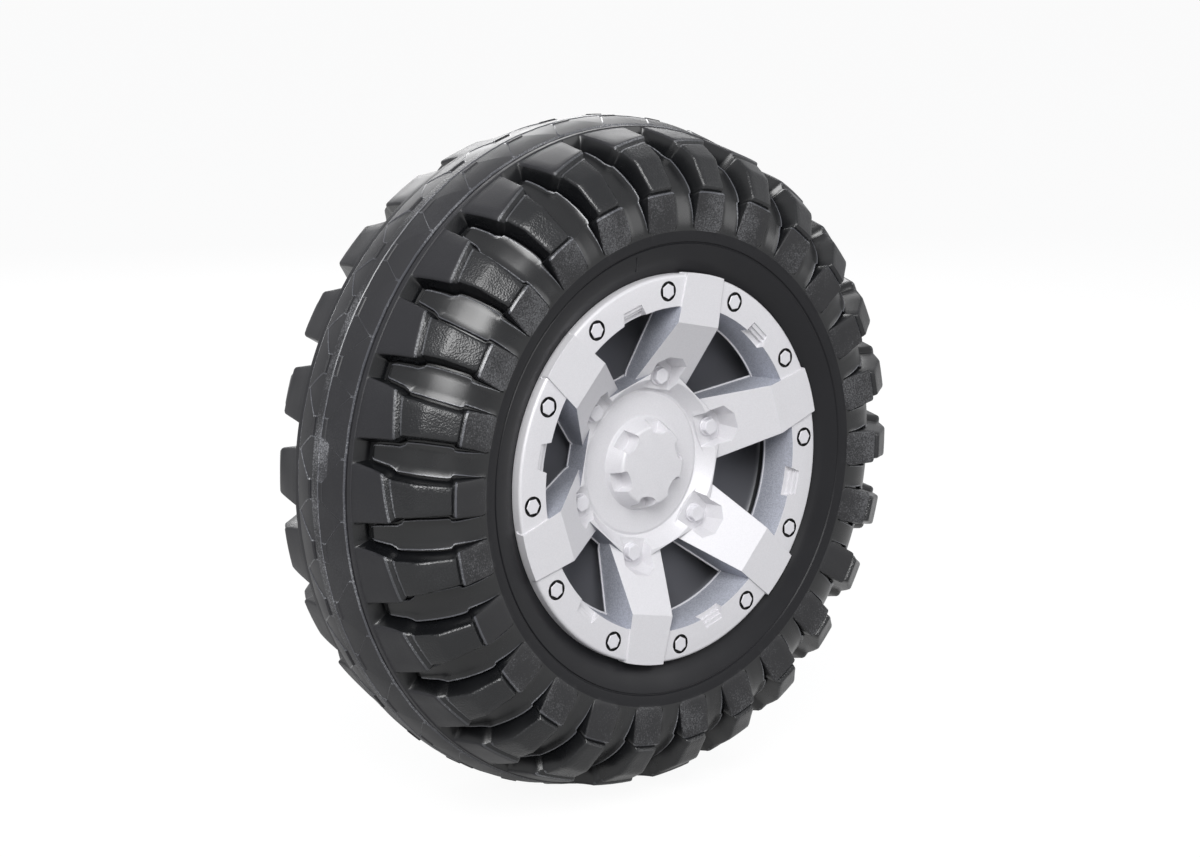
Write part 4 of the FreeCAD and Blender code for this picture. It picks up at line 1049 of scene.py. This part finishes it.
zinc = plated("zinc_plated_steel", "#C9CBC6", 0.22, 0.35, 0.5)
rod_low, rod_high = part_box("axle_rod")
TIP, STUB = rod_low[1] / MM, rod_high[1] / MM
ROD, GROOVE, CHAMFER = 6.0, 4.8, 1.0
CLIP_THICK, CLIP_PLAY = 1.2, 0.05
GROOVE_START = -CLIP_THICK - CLIP_PLAY
axle_rod = turned("axle_rod", rounded([
    (TIP, 0.0, 0), (TIP, ROD - CHAMFER, 0.25), (TIP + CHAMFER, ROD, 0.25), (GROOVE_START, ROD, 0.15),
    (GROOVE_START, GROOVE, 0.1), (CLIP_PLAY, GROOVE, 0.1), (CLIP_PLAY, ROD, 0.15),
    (STUB - CHAMFER, ROD, 0.25), (STUB, ROD - CHAMFER, 0.25), (STUB, 0.0, 0)], steps=3), steps=64)
axle_rod.data.materials.append(zinc)
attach(axle_rod, "axle")
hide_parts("axle_rod")


# Washers: two rings stamped from steel sheet and zinc plated, loose on the axle outside the bushes.
# The punch has rolled the edge of one face.
WASHER_BORE, WASHER_RADIUS = 6.02, 12.0
for name in ("outer_washer", "inner_washer"):
    low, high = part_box(name)
    thick = (high[1] - low[1]) / MM
    washer = turned(name, rounded([
        (thick / 2, WASHER_BORE, 0), (0.0, WASHER_BORE, 0.15), (0.0, WASHER_RADIUS, 0.5),
        (thick, WASHER_RADIUS, 0.2), (thick, WASHER_BORE, 0.2), (thick / 2, WASHER_BORE, 0)], steps=3),
        steps=64, offset=low[1])
    washer.data.materials.append(zinc)
    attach(washer, "axle")
    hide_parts(name)


# Lock nut: a zinc-plated steel hexagon, its corners turned off, with a round collar rolled over a
# nylon ring. It is screwed on the axle's outer end and holds the wheel.
nut_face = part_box("lock_nut")[1][1]
NUT_FLATS, NUT_HEX, NUT_TALL = 19.0, 8.5, 12.0
nut_depth = (nut_face - CAP_FACE) / MM
lock_nut = peg("lock_nut", 6, NUT_FLATS / math.sqrt(3), nut_depth, nut_depth - NUT_HEX, 0)
blank = turned("nut_blank", [(-NUT_HEX, 5.0), (-NUT_HEX, 9.3), (-NUT_HEX + 1.0, 11.0), (-1.0, 11.0),
                             (0.0, 9.3), (0.0, 5.0), (-NUT_HEX, 5.0)], steps=64, offset=nut_face)
combine(lock_nut, blank, "INTERSECT")
collar = turned("nut_collar", rounded([
    (-NUT_HEX + 0.4, 5.9, 0), (-NUT_HEX + 0.4, 8.6, 0), (-NUT_HEX - 0.4, 8.3, 0.3),
    (-NUT_TALL + 0.6, 8.3, 0.8), (-NUT_TALL, 7.2, 0.4), (-NUT_TALL, 5.9, 0), (-NUT_HEX + 0.4, 5.9, 0)]),
    steps=64, offset=nut_face)
join(lock_nut, collar)
shade_smooth(25)
lock_nut.data.materials.append(zinc)
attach(lock_nut, "axle")
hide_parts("lock_nut")


# Retaining clip: stamped from spring steel with an open mouth, hardened black, and pushed sideways
# into the axle's groove.
clip_low, clip_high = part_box("retaining_clip")
CLIP_RADIUS, CLIP_MOUTH = 9.0, 7.7
CLIP_STEPS = 40
clip_outline = []
for radius, way in ((CLIP_RADIUS, 1), (GROOVE, -1)):
    gap = math.asin(CLIP_MOUTH / 2 / radius)
    for i in range(CLIP_STEPS + 1):
        turn = math.pi + way * (gap + 2 * (math.pi - gap) * i / CLIP_STEPS)
        clip_outline.append((radius * math.sin(turn), radius * math.cos(turn)))
clip_faces = (clip_low[1] - CAP_FACE) / MM, (clip_high[1] - CAP_FACE) / MM
retaining_clip = lofted("retaining_clip", [[(x, depth, z) for x, z in clip_outline] for depth in clip_faces])
round_edges(retaining_clip, 0.12, 2, limit=50)
shade_smooth(35)
retaining_clip.data.materials.append(plated("blackened_spring_steel", "#3A3A3C", 0.35, 0.2, 0.2))
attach(retaining_clip, "axle")
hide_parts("retaining_clip")


# Drive hub: a socket with eight teeth, injection moulded of grey glass-filled nylon and screwed to the
# hub's inboard end. The gearbox's toothed boss turns the wheel in it.
drive_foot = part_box("drive_hub")[0][1]
DRIVE_BORE, SOCKET_RADIUS, BARREL_RADIUS, FLANGE_EDGE = 16.0, 18.5, 24.0, 34.0
DRIVE_FLANGE, DRIVE_TALL = 4.0, 16.0
TOOTH_COUNT = 8
drive_hub = turned("drive_hub", rounded([
    (DRIVE_FLANGE, DRIVE_BORE, 0), (0.0, DRIVE_BORE, 0.6), (0.0, FLANGE_EDGE, 0.3),
    (DRIVE_FLANGE, FLANGE_EDGE, 1.2), (DRIVE_FLANGE, BARREL_RADIUS, 1.5), (DRIVE_TALL, BARREL_RADIUS, 1.0),
    (DRIVE_TALL, SOCKET_RADIUS, 0.8), (DRIVE_FLANGE, SOCKET_RADIUS, 0), (DRIVE_FLANGE, DRIVE_BORE, 0)]),
    steps=96, offset=drive_foot)
tooth_base = (drive_foot - CAP_FACE) / MM
TOOTH_ENDS = (tooth_base + DRIVE_FLANGE - 0.5, tooth_base + DRIVE_TALL - 0.5)
TOOTH = [(-3.1, 19.2), (-2.5, 16.3), (-2.1, 16.0), (2.1, 16.0), (2.5, 16.3), (3.1, 19.2)]
teeth = lofted("drive_teeth", [[(x, depth, z) for x, z in TOOTH] for depth in TOOTH_ENDS])
round_edges(teeth, 0.35, 2)
shade_smooth(35)
round_the_axle(teeth, TOOTH_COUNT)
join(drive_hub, teeth)
drive_hub.data.materials.append(nylon("grey_glass_filled_nylon", "#6C6E72", 0.5))
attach(drive_hub, "wheel")
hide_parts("drive_hub")


# Drive screws: four zinc-plated self-tapping screws, pan heads with a cross recess, run through the
# drive hub's flange into the end of the hub.
screw_low, screw_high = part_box("drive_screws")
SCREW_COUNT = 4
SCREW_CIRCLE, SCREW_RADIUS, SCREW_TALL = 29.0, 3.2, 2.0
RECESS = (3.4 * MM, 2.2 * MM, 0.8 * MM)
screws = turned("drive_screws", rounded([
    (0.0, 0.0, 0), (0.0, SCREW_RADIUS, 0.1), (0.7, SCREW_RADIUS, 0.2), (SCREW_TALL - 0.1, 2.2, 1.2),
    (SCREW_TALL, 0.0, 0)]), steps=40, offset=screw_low[1])
for turn in (0.0, math.pi / 2):
    bpy.ops.mesh.primitive_cube_add(size=1, location=(0, screw_high[1], 0))
    slot = bpy.context.object
    slot.scale = RECESS
    slot.rotation_euler = (0, turn, 0)
    bpy.ops.object.transform_apply(location=True, rotation=True, scale=True)
    combine(screws, slot, "DIFFERENCE")
shade_smooth(35)
screws.location = (0, 0, SCREW_CIRCLE * MM)
bpy.ops.object.transform_apply(location=True)
round_the_axle(screws, SCREW_COUNT)
screws.data.materials.append(zinc)
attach(screws, "wheel")
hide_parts("drive_screws")


# The bounds of the finished scene.
low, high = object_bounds()
